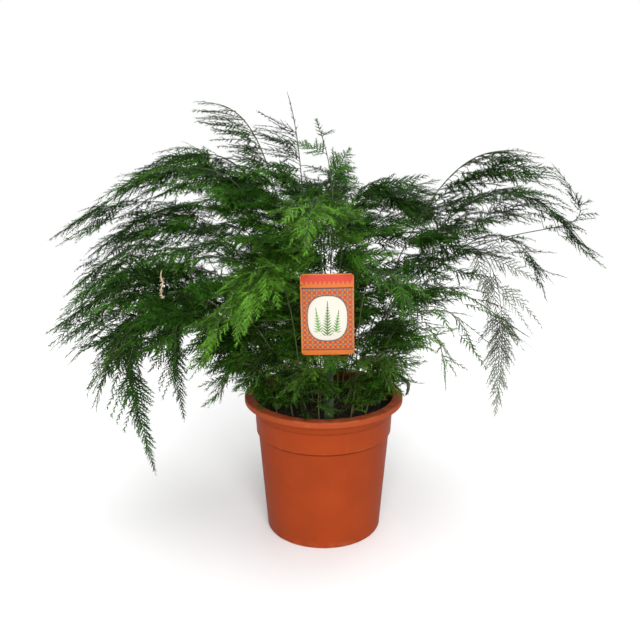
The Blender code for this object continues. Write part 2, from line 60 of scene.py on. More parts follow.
# Pot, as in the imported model
RIM_Z = 0.188
LIP_R = 0.105
LIP_DROP = 0.0075
LIP_WALL = 0.0016
COLLAR_TOP_R = 0.0925
COLLAR_LOW_R = 0.0900
STEP_Z = 0.139
STEP_DROP = 0.0020
WALL_TOP_R = 0.0875
BASE_R = 0.0770
WALL = 0.0018
BASE_THICK = 0.0025
DRAIN_HOLES = 5
DRAIN_RING_R = 0.048
DRAIN_HOLE_R = 0.006
DRAIN_HOLE_Z = 0.001
DRAIN_HOLE_SIDES = 28
FOOT_R = 0.0025
COLLAR_EDGE_R = 0.0009
LIP_EDGE_R = 0.0017
BASE_HOLLOW = 0.0008
BASE_HOLLOW_INSET = (0.016, 0.0145)
SHARP_ANGLE = math.radians(38)

# Soil
SOIL_MID_Z = 0.174
SOIL_EDGE_Z = 0.169
SOIL_R = 0.0900
SOIL_GAP = 0.0008
SOIL_DEEP = 0.020
SOIL_FOOT_INSET = 0.0022
ROUGH_SCALE = 95
ROUGH_HEIGHT = 0.0016
CRUMB_SPREAD = 0.42
CRUMB_LIMITS = (0.4, 2.2)
CRUMB_LUMPS = (0.62, 1.25)
CRUMB_STRETCH = (0.7, 1.3)
CRUMB_FROM_WALL = 0.006
CRUMB_UP = 0.25
FIBRE_SCATTER = 0.004
FIBRE_LONG = (0.004, 0.012)
FIBRE_R = 0.0003
FIBRE_FROM_WALL = 0.004

# How far foliage keeps from the pot's wall, the soil and the card
KEEP_OFF = 0.0015
POT_HEIGHTS = (0, STEP_Z - STEP_DROP, STEP_Z, RIM_Z - LIP_DROP - 0.0001, RIM_Z - LIP_DROP, RIM_Z)
POT_RADII = (BASE_R, WALL_TOP_R, COLLAR_LOW_R, COLLAR_TOP_R, LIP_R, LIP_R)
INNER_RADII = (BASE_R, WALL_TOP_R, COLLAR_LOW_R, COLLAR_TOP_R, COLLAR_TOP_R, COLLAR_TOP_R)

# Plant label
LABEL_WIDE = 0.065
LABEL_TALL = 0.101
LABEL_THICK = 0.0010
LABEL_CORNER = 0.004
LABEL_BOW = 0.0014
LABEL_COLUMNS = 12
LABEL_EDGE = 0.0002
LABEL_FOOT = Vector((0.0070, -0.0680, 0.150))
LABEL_CARD_UP = 0.112
STAKE_WIDE = 0.012
STAKE_POINT = 0.010
LABEL_LEAN = math.radians(-2.0)
LABEL_ROLL = math.radians(-1.0)
LABEL_SIGHT_SLOPE = 0.275
# Foliage may hang before the card's upper left corner: how far across, how deep and how steeply
VEIL_ACROSS = 0.2
VEIL_DEEP = 0.014
VEIL_SLOPE = 0.25

# The card's print, with heights from a point PRINT_UP above the card's lower edge
PRINT_UP = 0.050
TRELLIS_CELL = 0.0062
HEAD_BAND_Z = 0.0335
FOOT_BAND_Z = -0.0435
TEETH_Z = 0.0425
TOOTH_WIDE = 0.0055
TOOTH_TALL = 0.010
PANEL_Z = -0.004
PANEL_HALF_WIDE = 0.0235
PANEL_HALF_TALL = 0.0270
PANEL_SQUARENESS = 2.6
PLAIN_EDGE = 0.0012
LEAF_STEP = 0.0036
STALK_HALF = 0.0005
# The printed sprigs: foot, lean, length, half width and shade
LABEL_SPRIGS = (
    ((-0.0105, -0.0210), math.radians(-7), 0.031, 0.0075, 1.5),
    ((0.0100, -0.0215), math.radians(8), 0.028, 0.0075, 1.2),
    ((-0.0005, -0.0255), math.radians(1), 0.043, 0.0095, 0.8),
)

# Stems: name, foot on the soil, tip, the two handles of the arch as (share of the way to the tip,
# height), the leafless share of the stem, the longest spray and the number of sprays
STEM_SIZES = (
    ("left_high", (-0.040, 0.010), (-0.356, 0.020, 0.390), (0.05, 0.62), (0.55, 0.475), 0.26, 0.115, 7),
    ("left_mid", (-0.052, -0.008), (-0.357, -0.020, 0.275), (0.15, 0.46), (0.64, 0.35), 0.24, 0.115, 7),
    ("left_rear", (-0.047, 0.026), (-0.362, 0.075, 0.300), (0.15, 0.505), (0.60, 0.405), 0.24, 0.115, 7),
    ("left_droop", (-0.066, 0.008), (-0.330, -0.030, 0.234), (0.15, 0.38), (0.68, 0.345), 0.22, 0.110, 7),
    ("left_lowest", (-0.034, -0.024), (-0.218, -0.055, 0.095), (0.50, 0.40), (1.45, 0.42), 0.28, 0.085, 7),
    ("left_hang_rear", (-0.064, 0.032), (-0.196, 0.045, 0.128), (0.30, 0.32), (1.32, 0.40), 0.26, 0.085, 6),
    ("left_hang_front", (-0.06, -0.018), (-0.278, -0.095, 0.196), (0.22, 0.34), (0.88, 0.38), 0.24, 0.095, 7),
    ("left_top", (-0.022, 0.022), (-0.275, 0.055, 0.435), (0.12, 0.54), (0.52, 0.545), 0.24, 0.110, 7),
    ("left_top_rear", (-0.030, 0.042), (-0.340, 0.125, 0.345), (0.12, 0.53), (0.60, 0.44), 0.24, 0.110, 6),
    ("peak_left", (-0.014, 0.002), (-0.150, -0.010, 0.560), (0.30, 0.48), (0.45, 0.57), 0.22, 0.090, 7),
    ("peak", (-0.006, 0.018), (-0.045, 0.020, 0.573), (0.50, 0.36), (0.40, 0.50), 0.18, 0.120, 7),
    ("peak_rear", (0.004, 0.036), (-0.010, 0.110, 0.540), (0.25, 0.40), (0.60, 0.52), 0.22, 0.120, 6),
    ("shoulder", (0.020, 0.014), (0.120, 0.055, 0.412), (-0.10, 0.46), (0.24, 0.516), 0.20, 0.110, 7),
    ("right_far", (0.032, 0.002), (0.289, 0.030, 0.488), (0.30, 0.52), (1.63, 0.32), 0.66, 0.032, 6),
    ("right_high", (0.028, -0.014), (0.250, -0.045, 0.492), (0.30, 0.42), (0.60, 0.55), 0.24, 0.105, 7),
    ("right_mid", (0.044, -0.004), (0.345, -0.012, 0.366), (0.25, 0.46), (0.62, 0.53), 0.30, 0.100, 7),
    ("right_hang", (0.034, 0.022), (0.234, 0.014, 0.144), (0.36, 0.42), (1.15, 0.50), 0.50, 0.095, 6),
    ("right_low", (0.052, 0.012), (0.304, 0.055, 0.300), (0.30, 0.40), (0.80, 0.47), 0.26, 0.090, 6),
    ("right_low_front", (0.050, -0.022), (0.254, -0.060, 0.282), (0.22, 0.42), (0.60, 0.33), 0.22, 0.090, 6),
    ("right_drop", (0.064, -0.004), (0.160, -0.016, 0.196), (0.20, 0.29), (0.95, 0.34), 0.18, 0.065, 4),
    ("front_left", (-0.028, -0.030), (-0.095, -0.195, 0.320), (0.15, 0.39), (0.70, 0.44), 0.16, 0.105, 7),
    ("front", (-0.004, -0.012), (-0.020, -0.200, 0.412), (0.06, 0.48), (0.60, 0.51), 0.20, 0.100, 6),
    ("front_right", (0.038, -0.034), (0.096, -0.180, 0.330), (0.15, 0.38), (0.70, 0.43), 0.16, 0.100, 6),
    ("front_far_left", (-0.040, -0.042), (-0.138, -0.125, 0.262), (0.20, 0.33), (0.85, 0.37), 0.16, 0.085, 5),
    ("low_left", (-0.020, -0.058), (-0.080, -0.116, 0.240), (0.20, 0.26), (0.75, 0.30), 0.14, 0.065, 4),
    ("low_right", (0.034, -0.056), (0.078, -0.110, 0.236), (0.20, 0.26), (0.75, 0.295), 0.14, 0.065, 4),
    ("low_mid", (-0.006, -0.052), (-0.034, -0.104, 0.226), (0.15, 0.24), (0.75, 0.275), 0.18, 0.060, 3),
    ("low_rim_left", (-0.060, -0.036), (-0.130, -0.068, 0.200), (0.20, 0.25), (0.85, 0.29), 0.20, 0.060, 4),
    ("front_far_right", (0.054, -0.040), (0.170, -0.140, 0.290), (0.18, 0.33), (0.75, 0.38), 0.16, 0.090, 5),
    ("back_left", (-0.018, 0.054), (-0.150, 0.220, 0.390), (0.15, 0.45), (0.60, 0.54), 0.20, 0.115, 6),
    ("back", (0.006, 0.058), (0.010, 0.270, 0.370), (0.15, 0.45), (0.55, 0.525), 0.20, 0.115, 6),
    ("back_right", (0.026, 0.046), (0.165, 0.215, 0.375), (0.15, 0.44), (0.60, 0.505), 0.20, 0.115, 6),
    ("back_low_left", (-0.032, 0.066), (-0.130, 0.225, 0.215), (0.18, 0.32), (0.85, 0.39), 0.18, 0.095, 5),
    ("back_low_right", (0.036, 0.066), (0.130, 0.230, 0.225), (0.18, 0.32), (0.85, 0.39), 0.18, 0.095, 5),
)
Stem = namedtuple("Stem", "name foot tip rise over bare spread sprays habit")
STEM_SWAY = 0.018
STEM_HOLE_DEPTH = 0.0197
TANGENT_STEP = 0.004
TIP_START = 0.80
LAST_SPRAY = 0.86
STEM_STEPS = 44
STEM_TAPER = 0.8
LESSER_FALL = (math.radians(-24), math.radians(36))
INNER_FALL = (math.radians(-35), math.radians(25))
INNER_TOP = 0.42
INNER_LOW = 0.35
INNER_SPREAD = 0.6
INNER_TIMES = 1.15
LESSER_CHANCE = (0.8, 1.2)
LOW_SPREAD = 0.07

# What sets some stems apart. tint: young stems are fresh, fading ones grey. turned: the sprays of
# hanging stems stand out to the left and right of whoever faces the label. lesser: lesser sprays for
# each main one. crowding: above 1 they crowd low down. between: the shares of the leafy stretch where
# they grow. shade: painted shade, how much darker the needles of a stem that hangs in shadow are
# painted. narrow: how wide its plumes are high up, and the shares between which they narrow. drop:
# how far the lesser sprays hang below the stem, or stand above it where it is less than zero.
STALK_DROP = (-0.012, 0.050)
Habit = namedtuple(
    "Habit",
    "tint turned lesser crowding between shade narrow drop",
    defaults=("deep", False, None, 1.0, (0.0, 1.0), 0.0, (1, 0, 1), STALK_DROP),
)
HABITS = {
    "left_high": Habit(lesser=5.6, crowding=1.25, drop=(-0.016, 0.065)),
    "left_mid": Habit(lesser=6.0, drop=(-0.036, 0.066)),
    "left_rear": Habit(lesser=6.8, drop=(-0.036, 0.066)),
    "left_droop": Habit(lesser=4.6, shade=0.08, narrow=(0.6, 0.55, 0.85), drop=(-0.045, 0.015)),
    "left_lowest": Habit(
        turned=True, lesser=7.5, between=(0.05, 1.05), shade=0.22, narrow=(0.5, 0.65, 0.95),
        drop=(-0.02, 0.085),
    ),
    "left_hang_rear": Habit(
        turned=True, lesser=8.5, between=(0.05, 1.05), shade=0.26, narrow=(0.55, 0.7, 1.0),
        drop=(-0.022, 0.09),
    ),
    "left_hang_front": Habit(shade=0.1, narrow=(0.6, 0.4, 0.75)),
    "left_top": Habit(lesser=5.2, crowding=1.25),
    "left_top_rear": Habit(lesser=4.2),
    "peak_left": Habit(lesser=7.2, crowding=1.2, between=(0.0, 0.88), narrow=(0.42, 0.48, 0.66)),
    "peak": Habit(
        lesser=6.6, crowding=1.1, between=(0.15, 0.94), narrow=(0.5, 0.62, 0.8),
        drop=(-0.004, 0.018),
    ),
    "peak_rear": Habit(
        lesser=3.6, between=(0.1, 0.62), narrow=(0.6, 0.65, 0.85), drop=(-0.004, 0.018)
    ),
    "shoulder": Habit(lesser=7.4, crowding=1.3, between=(-0.12, 1.0), shade=0.08),
    "right_far": Habit(lesser=0, shade=0.2, narrow=(0.8, -0.1, 0.1)),
    "right_high": Habit(
        lesser=5.4, crowding=1.05, shade=0.16, narrow=(0.9, 0.5, 0.8), drop=(0.0, 0.085)
    ),
    "right_mid": Habit(
        lesser=5.6, crowding=1.3, shade=0.16, narrow=(0.75, 0.5, 0.8), drop=(-0.02, 0.07)
    ),
    "right_hang": Habit(tint="grey", turned=True, lesser=0.7, narrow=(0.75, -0.1, 0.1)),
    "right_low": Habit(lesser=2.2, crowding=1.4, shade=0.16, narrow=(0.75, 0.1, 0.5)),
    "right_low_front": Habit(lesser=0.5, narrow=(0.65, 0.1, 0.5)),
    "right_drop": Habit(tint="fresh", lesser=1.5),
    "front_left": Habit(tint="fresh", drop=(-0.006, 0.02)),
    "front": Habit(tint="fresh", lesser=5.4, between=(-0.05, 0.72), drop=(0.0, 0.045)),
    "front_right": Habit(lesser=0.9, narrow=(0.75, 0.2, 0.5), drop=(-0.006, 0.025)),
    "front_far_left": Habit(tint="fresh", lesser=2.5),
    "low_left": Habit(lesser=6.0, shade=0.2, drop=(-0.025, 0.006)),
    "low_right": Habit(tint="fresh", lesser=8.0, shade=0.22, drop=(-0.03, 0.007)),
    "low_mid": Habit(tint="fresh", lesser=9.0, shade=0.2, drop=(-0.03, 0.007)),
    "front_far_right": Habit(lesser=0.3, narrow=(0.75, 0.1, 0.5)),
    "back_left": Habit(lesser=3.6),
    "back": Habit(lesser=8.0, crowding=1.4, between=(-0.3, 1.0)),
    "back_right": Habit(lesser=6.4, shade=0.12),
    "back_low_left": Habit(lesser=3.4),
    "back_low_right": Habit(lesser=3.4),
}
FADED_WIDTH = 0.62
FADED_PITCH = 0.8
# The heights between which stalks turn from pale to green
WOOD_RISE = (0.17, 0.42)

# Sprays
SWEEP_LOW = math.radians(54)
SWEEP_HIGH = math.radians(20)
SWEEP_SPREAD = math.radians(9)
ROLL_SPREAD = math.radians(28)
TILT_SPREAD = math.radians(14)
SPRAY_DROOP = 0.22
SPRAY_CURL = 0.14
FIRST_SPRAY_SHARE = 0.78
LONGEST_SPRAY_AT = 0.2
TIP_SHRINK = 0.58
LENGTH_SPREAD = 0.1
FORWARD_LEAN = 0.3
UPRIGHT_LEAN = 1.3
SPRAY_TURN = math.radians(75)
LEVEL_PLUMES = 0.8
LEVEL_OUT = 0.5
STALK_AHEAD = 1.1
STALK_ASIDE = 0.3
STALK_ELBOW = 0.8
STALK_SHORTER = 0.5
STALK_SHARES = (0, 0.35, 0.7)
TONES = (0.25, 0.75)
RIB_POINTS = 7
RIB_RADII = (0.00055, 0.00020)
SPUR_R = 0.0009
SPUR_LONG = 0.0042
SPUR_LEAN = 0.6
SPUR_BACK = 0.8

# How twigs fork off a rib or a branch: between which shares of it, and how far they sweep forward
# in degrees, near its foot and near its end
FORK_START = 0.05
FORK_END = 0.96
FORK_NUDGE = 0.2
FORK_SPREAD = 11
FORK_LIFT = 0.18
FORK_CURL = 0.14
FORK_DROOP = 0.2
FORK_FOOT = 0.6
FORK_LONGEST_AT = 0.15
FORK_FADE = 0.75
BRANCH_SWEEP = (50, 28)
TWIG_SWEEP = (44, 28)
TWIG_SHARE = 0.30
SHORTEST_BRANCH = 0.007
SHORTEST_TWIG = 0.0045
RIBBON_WIDE = 1.35
REACH_CHANCE = (0.7, 1.15)
TONE_SPREAD = 0.12
TONE_RISE = 0.12

# Needles: where they start on each kind of twig, and how they sweep, lift and shorten along it
NEEDLES_ON_LONG_BRANCH = 0.5
NEEDLES_ON_BRANCH = 0.1
NEEDLES_ON_TWIG = 0.15
NEEDLES_ON_RIB = 0.66
NEEDLE_FIRST = 0.8
NEEDLE_SWEEP = (38, 24)
NEEDLE_SPREAD = 9
NEEDLE_LIFT = (0.03, 0.25)
NEEDLE_SHRINK = 0.35
NEEDLE_ROOT = (1.1, 0.3)
RIBBON_BELLY = 0.7
NEEDLE_TONE_RISE = 0.08
# Whitish tint added to the lightest needles as a painted highlight
PAINTED_HIGHLIGHT_TINT = (0.026, 0.040, 0.008)

# The dead spray: its stem, where it leaves it, and the way it hangs
WITHERED_STEM = "stem_left_mid"
WITHERED_AT = 0.46
WITHERED_STEPS = 24
WITHERED_GREEN = 10
WITHERED_STALK_R = 0.0004
WITHERED_RADII = (0.0006, 0.0004)
WITHERED_NEEDLE = (0.0016, 0.0034)
WITHERED_NEEDLE_HALF = 0.0007
WITHERED_CURL = ((-0.6, 0.2), (-0.9, 0.5))
WITHERED_LINE = (
    (-0.180, -0.050, 0.374),
    (-0.1885, -0.082, 0.3740),
    (-0.1905, -0.0905, 0.3670),
    (-0.1885, -0.091, 0.358),
    (-0.1912, -0.092, 0.349),
    (-0.1895, -0.092, 0.341),
)

# Young shoot, over the right side of the rim
SHOOT_FOOT = (0.072, -0.016)
# Shares of the shoot's length, and how thick it is there against its foot
SHOOT_SWELL = ((0, 0.25, 0.85, 1), (1, 1.4, 1.35, 0.75))
SHOOT_LINE = (
    (0.076, -0.017, 0.196),
    (0.084, -0.019, 0.214),
    (0.094, -0.020, 0.2195),
    (0.104, -0.020, 0.2155),
    (0.1100, -0.020, 0.207),
    (0.1100, -0.020, 0.198),
    (0.1072, -0.020, 0.1915),
)
SHOOT_STEPS = 60
FIRST_SCALE = 18
SCALE_STEP = 5
SCALE_LONG = (0.0045, 0.0062)
SCALE_HALF = (0.0012, 0.0009)
SCALE_THICK = 0.0003
SCALE_FACING = (-0.6, 0.3)
SCALE_ROOT = 0.4
SCALE_AHEAD = 0.9
SCALE_OUT = 0.35
SCALE_ARCH = 0.0007

# Stage
FLOOR_R = 3.0
FLOOR_FADE = (0.7, 2.4)
SENSOR_WIDE = 36
WHITE = (1, 1, 1, 1)
# Each soft light: its name and setting, its softness, azimuth and height in degrees
LIGHTS = (("key", 40, 4, 24), ("top", 60, 0, 80), ("back", 60, 165, 30))


STEMS = tuple(
    Stem("stem_" + name, *sizes, HABITS.get(name, Habit())) for name, *sizes in STEM_SIZES
)


def number_setting(name, description, default, **kind):
    return bpy.props.FloatProperty(name=name, description=description, default=default, **kind)


def count_setting(name, description, default, least=0):
    return bpy.props.IntProperty(name=name, description=description, default=default, min=least)


def length_setting(name, description, default):
    kind = {"min": 0, "precision": 4, "unit": "LENGTH", "subtype": "DISTANCE"}
    return number_setting(name, description, default, **kind)


def share_setting(name, description, default):
    return number_setting(name, description, default, min=0, max=1, subtype="FACTOR")


def colour_setting(name, description, default):
    return bpy.props.FloatVectorProperty(
        name=name, description=description, default=default, size=3, min=0, max=1, subtype="COLOR"
    )


class PotSettings(bpy.types.PropertyGroup):
    plastic: colour_setting("Plastic", "Terracotta colour of the moulded pot", (0.258, 0.038, 0.0082))
    # Faded plastic also gives the painted highlight on the lip
    faded: colour_setting("Faded plastic", "Plastic that is scuffed or chalky", (0.42, 0.12, 0.055))
    # Painted shade on the wall inside the rim
    painted_shade_inside_rim: colour_setting("Painted shade inside rim", "Painted shade on the wall inside the rim", (0.020, 0.008, 0.004))
    sides: count_setting("Sides", "Facets round the pot", 144, 24)
    edge: length_setting("Edge", "Radius of the lip's rounded edges", 0.0010)


class SoilSettings(bpy.types.PropertyGroup):
    peat: colour_setting("Peat", "Dark damp peat", (0.011, 0.007, 0.005))
    dry_peat: colour_setting("Dry peat", "Crumbs that have dried", (0.050, 0.030, 0.019))
    crumbs: count_setting("Crumbs", "Loose crumbs on the surface", 700)
    crumb: length_setting("Crumb", "Radius of a usual crumb", 0.0016)


class LabelSettings(bpy.types.PropertyGroup):
    ground: colour_setting("Ground", "Printed ground of the card", (0.62, 0.145, 0.012))
    panel: colour_setting("Panel", "Pale panel in the middle", (0.72, 0.70, 0.62))
    leaf: colour_setting("Sprig", "Green of the printed sprig", (0.07, 0.23, 0.05))
    red: colour_setting("Red", "Red of the border", (0.60, 0.035, 0.015))
    teal: colour_setting("Teal", "Blue-green of the border", (0.05, 0.22, 0.26))
    dark: colour_setting("Dark", "Dark lines of the border", (0.030, 0.022, 0.035))
    stake: colour_setting("Stake", "Plastic of the stake", (0.016, 0.034, 0.010))


class FoliageSettings(bpy.types.PropertyGroup):
    needle: length_setting("Needle", "Length of a full needle", 0.0042)
    needle_wide: length_setting("Needle width", "Width of a needle at its root", 0.00145)
    needle_pitch: length_setting("Needle pitch", "Step between pairs of needles", 0.0022)
    branch_pitch: length_setting("Branch pitch", "Step between the branches of a spray", 0.0056)
    branch_share: share_setting("Branch reach", "Longest branch as a share of its spray", 0.38)
    long_branch: length_setting("Long branch", "Branches longer than this carry twigs", 0.0120)
    twig_pitch: length_setting("Twig pitch", "Step between the twigs of a branch", 0.0050)
    lesser_share: share_setting("Lesser sprays", "Length of the sprays between the main ones", 0.72)
    lesser_sprays: count_setting("Sprays between", "Lesser sprays for each main spray of a stem", 4)
    inner_sprays: count_setting("Inner sprays", "Small sprays on the lower part of each stem", 8)
    stem_foot: length_setting("Stem foot", "Radius of a stem at the soil", 0.0010)
    stem_tip: length_setting("Stem tip", "Radius of a stem at its tip", 0.00035)
    deep: colour_setting("Deep green", "Needles of the older stems", (0.0110, 0.0430, 0.0020))
    fresh: colour_setting("Fresh green", "Needles of the young stems", (0.036, 0.098, 0.007))
    grey: colour_setting("Faded green", "Needles of the fading stems", (0.045, 0.054, 0.038))
    wood: colour_setting("Stem green", "Wiry stems near their tips", (0.028, 0.052, 0.010))
    pale_wood: colour_setting("Pale stem", "Wiry stems near the soil", (0.130, 0.150, 0.052))
    withered: colour_setting("Withered", "The dead spray", (0.62, 0.50, 0.33))


class ShootSettings(bpy.types.PropertyGroup):
    skin: colour_setting("Skin", "Dark skin of the young shoot", (0.030, 0.040, 0.024))
    scale: colour_setting("Scales", "Papery scales on the shoot", (0.120, 0.085, 0.045))
    thickness: length_setting("Thickness", "Radius of the shoot at its foot", 0.0015)


class StageSettings(bpy.types.PropertyGroup):
    camera_far: length_setting("Camera distance", "Camera's distance in front of the pot's axis", 1.0)
    camera_high: length_setting("Camera height", "Camera's height above the floor", 0.564)
    camera_aside: number_setting(
        "Camera offset", "Camera's place along X", -0.0049, unit="LENGTH", subtype="DISTANCE"
    )
    camera_pitch: number_setting(
        "Camera pitch", "How far the camera looks down", math.radians(15.4), subtype="ANGLE"
    )
    lens: number_setting("Lens", "Focal length in millimetres", 44.83, unit="CAMERA")
    ambient: number_setting("Ambient", "Strength of the light from all round", 0.20)
    key: number_setting("Key light", "Strength of the soft light in front", 3.6)
    top: number_setting("Top light", "Strength of the soft light overhead", 2.2)
    back: number_setting("Back light", "Strength of the soft light behind", 0.9)
    floor: colour_setting("Floor", "Pale floor", (0.86, 0.86, 0.86))


class Wire:
    """A socket of a material's nodes. Sums and products of wires add the Math nodes that they need."""

    def __init__(self, tree, socket=None):
        self.tree = tree
        self.socket = socket

    def node(self, kind, settings=(), sockets=(), output=0):
        """Adds a node, sets its settings, fills or links its sockets and gives one of its outputs."""
        made = self.tree.nodes.new(kind)
        for name, value in dict(settings).items():
            if name == "stops":
                fill_ramp(made.color_ramp, value)
            else:
                setattr(made, name, value)
        for name, value in dict(sockets).items():
            if isinstance(value, Wire):
                self.tree.links.new(value.socket, made.inputs[name])
            else:
                made.inputs[name].default_value = value
        return Wire(self.tree, made.outputs[output])

    def maths(self, operation, *values):
        return self.node("ShaderNodeMath", {"operation": operation}, enumerate(values))

    def __add__(self, other):
        return self.maths("ADD", self, other)

    def __sub__(self, other):
        return self.maths("SUBTRACT", self, other)

    def __rsub__(self, other):
        return self.maths("SUBTRACT", other, self)

    def __mul__(self, other):
        return self.maths("MULTIPLY", self, other)

    def __truediv__(self, other):
        return self.maths("DIVIDE", self, other)

    def __pow__(self, other):
        return self.maths("POWER", self, other)

    def __abs__(self):
        return self.maths("ABSOLUTE", self)

    __radd__ = __add__
    __rmul__ = __mul__

    def below(self, other):
        return self.maths("LESS_THAN", self, other)

    def larger(self, other):
        return self.maths("MAXIMUM", self, other)

    def step(self, low, high):
        """A smooth rise from 0 at low to 1 at high."""
        settings = {"interpolation_type": "SMOOTHSTEP"}
        sockets = {"Value": self, "From Min": low, "From Max": high}
        return self.node("ShaderNodeMapRange", settings, sockets)

    def band(self, low, full, fade, high):
        """A smooth rise from 0 at low to 1 at full, and down again from fade to high."""
        return self.step(low, full) * (1 - self.step(fade, high))

    def mix(self, first, second):
        """The first colour where this wire is 0 and the second where it is 1."""
        sockets = {0: self, 6: colour_of(first), 7: colour_of(second)}
        return self.node("ShaderNodeMix", {"data_type": "RGBA"}, sockets, output=2)


def colour_of(value):
    """A wire as it is, or a colour with its alpha."""
    return value if isinstance(value, Wire) else (*value, 1)


def fill_ramp(ramp, stops):
    while len(ramp.elements) > 1:
        ramp.elements.remove(ramp.elements[0])
    ramp.elements[0].position, ramp.elements[0].color = stops[0][0], colour_of(stops[0][1])
    for place, colour in stops[1:]:
        ramp.elements.new(place).color = colour_of(colour)


class Finish:
    """A material with its Principled shader and the coordinates that its patterns use."""

    def __init__(self, name, **fixed):
        self.material = bpy.data.materials.new(name)
        self.material.use_nodes = True
        self.tree = self.material.node_tree
        self.shader = self.tree.nodes["Principled BSDF"]
        for socket, value in fixed.items():
            self.shader.inputs[socket.replace("_", " ")].default_value = value
        self.start = Wire(self.tree)
        self.place = self.start.node("ShaderNodeTexCoord", output=3)
        self.x, self.y, self.z = (
            self.start.node("ShaderNodeSeparateXYZ", (), {0: self.place}, output=k) for k in range(3)
        )

    def stretched(self, scale):
        """The coordinates, scaled by a different number along each axis."""
        settings = {"operation": "MULTIPLY"}
        return self.start.node("ShaderNodeVectorMath", settings, {0: self.place, 1: scale})

    def noise(self, scale, detail=3.0, vector=None):
        sockets = {"Vector": vector or self.place, "Scale": scale, "Detail": detail}
        return self.start.node("ShaderNodeTexNoise", (), sockets)

    def per_island(self):
        """A number of its own for each separate shell of the mesh."""
        return self.start.node("ShaderNodeNewGeometry", output="Random Per Island")

    def tone(self):
        """The light or dark value that the mesh keeps for each of its twigs."""
        return self.start.node("ShaderNodeAttribute", {"attribute_name": "tone"}, output="Fac")

    def feed(self, socket, wire):
        self.tree.links.new(wire.socket, self.shader.inputs[socket])

    def bump(self, height, strength, distance):
        sockets = {"Height": height, "Strength": strength, "Distance": distance}
        self.feed("Normal", self.start.node("ShaderNodeBump", (), sockets))


def tuned(colour, times):
    """A colour made lighter or darker."""
    return tuple(min(1.0, c * times) for c in colour)


def unit(vectors):
    return vectors / np.linalg.norm(vectors, axis=-1, keepdims=True)


def seeded(name):
    return np.random.default_rng(zlib.crc32(name.encode()))


def linked(name, data):
    """An object for a mesh, a light or a camera, in the scene."""
    made = bpy.data.objects.new(name, data)
    bpy.context.scene.collection.objects.link(made)
    return made


def settle(piece, node, slot):
    """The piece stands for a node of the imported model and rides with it."""
    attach(piece, "root")
    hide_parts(node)


class Shells:
    """Collects the closed shells of one piece as triangles, with a material number and smoothness."""

    def __init__(self):
        self.verts, self.faces, self.kinds, self.smooth, self.tones = [], [], [], [], []
        self.count = 0

    def add(self, verts, pattern, kind, smooth=False, tone=0.5):
        """Adds many alike shells: verts is shells x corners x 3, pattern the triangles of one."""
        shells, corners = verts.shape[:2]
        self.tones.append(np.repeat(np.broadcast_to(tone, shells), corners))
        starts = self.count + corners * np.arange(shells)
        faces = (np.asarray(pattern)[None] + starts[:, None, None]).reshape(-1, 3)
        self.verts.append(verts.reshape(-1, 3))
        self.faces.append(faces)
        self.kinds.append(np.full(len(faces), kind))
        self.smooth.append(np.full(len(faces), smooth))
        self.count += shells * corners

    def piece(self, name, materials):
        """A mesh object of all the shells."""
        mesh = bpy.data.meshes.new(name)
        verts, faces = np.concatenate(self.verts), np.concatenate(self.faces)
        mesh.from_pydata(verts.tolist(), [], faces.tolist())
        for material in materials:
            mesh.materials.append(material)
        mesh.polygons.foreach_set("material_index", np.concatenate(self.kinds).astype(np.int32))
        mesh.polygons.foreach_set("use_smooth", np.concatenate(self.smooth))
        mesh.update()
        tones = mesh.attributes.new("tone", "FLOAT", "POINT")
        tones.data.foreach_set("value", np.concatenate(self.tones).astype(np.float32))
        return linked(name, mesh)


def tube_pattern(rings, sides):
    """The triangles of a closed tube of rings with a point at its far end."""
    faces = [(0, k + 1, k) for k in range(1, sides - 1)]
    for ring in range(rings - 1):
        for k in range(sides):
            a, b = ring * sides + k, ring * sides + (k + 1) % sides
            faces += [(a, b, b + sides), (a, b + sides, a + sides)]
    last = (rings - 1) * sides
    faces += [(last + k, last + (k + 1) % sides, last + sides) for k in range(sides)]
    return faces


def tube(shells, line, radius, sides, kind):
    """A smooth tube along one line of points, which ends in a point."""
    line, radius = np.asarray(line, float), np.asarray(radius, float)
    way = unit(np.gradient(line, axis=0))
    across = (0.0, 1.0, 0.0) if abs(way[0][1]) < 0.9 else (1.0, 0.0, 0.0)
    first = unit(np.cross(way, across))
    second = np.cross(way, first)
    turns = (math.tau * np.arange(sides) / sides)[None, :, None]
    ring = np.cos(turns) * first[:, None] + np.sin(turns) * second[:, None]
    rings = line[:-1, None] + ring[:-1] * radius[:-1, None, None]
    verts = np.concatenate([rings.reshape(-1, 3), line[-1:]])
    shells.add(verts[None], tube_pattern(len(line) - 1, sides), kind, True)


def smooth_line(points, count):
    """Points along a smooth curve through the given ones."""
    points = np.asarray(points, float)
    padded = np.vstack([2 * points[0] - points[1], points, 2 * points[-1] - points[-2]])
    spans = len(points) - 1
    line = []
    for place in np.linspace(0, spans, count):
        k = min(int(place), spans - 1)
        t = place - k
        a, b, c, d = padded[k : k + 4]
        square, cube = 2 * a - 5 * b + 4 * c - d, 3 * b - a - 3 * c + d
        line.append(0.5 * (2 * b + (c - a) * t + square * t**2 + cube * t**3))
    return np.array(line)


# A pair of needles is two slivers on one root edge; a twig is one sliver, a branch a bowed ribbon
PAIR = ((0, 1, 2), (1, 0, 3))
SLIVER = ((0, 1, 2),)
RIBBON = ((0, 1, 3), (0, 3, 2), (2, 3, 4))
SPIKE = tuple(tube_pattern(1, 3))


def soil_height(x, y):
    """The height of the slightly domed soil."""
    share = min(1, math.hypot(x, y) / SOIL_R)
    return SOIL_MID_Z - (SOIL_MID_Z - SOIL_EDGE_Z) * share * share


def label_place():
    """Where the label stands: the middle of its stake's point."""
    return (
        Matrix.Translation(LABEL_FOOT)
        @ Matrix.Rotation(LABEL_LEAN, 4, "X")
        @ Matrix.Rotation(LABEL_ROLL, 4, "Y")
    )


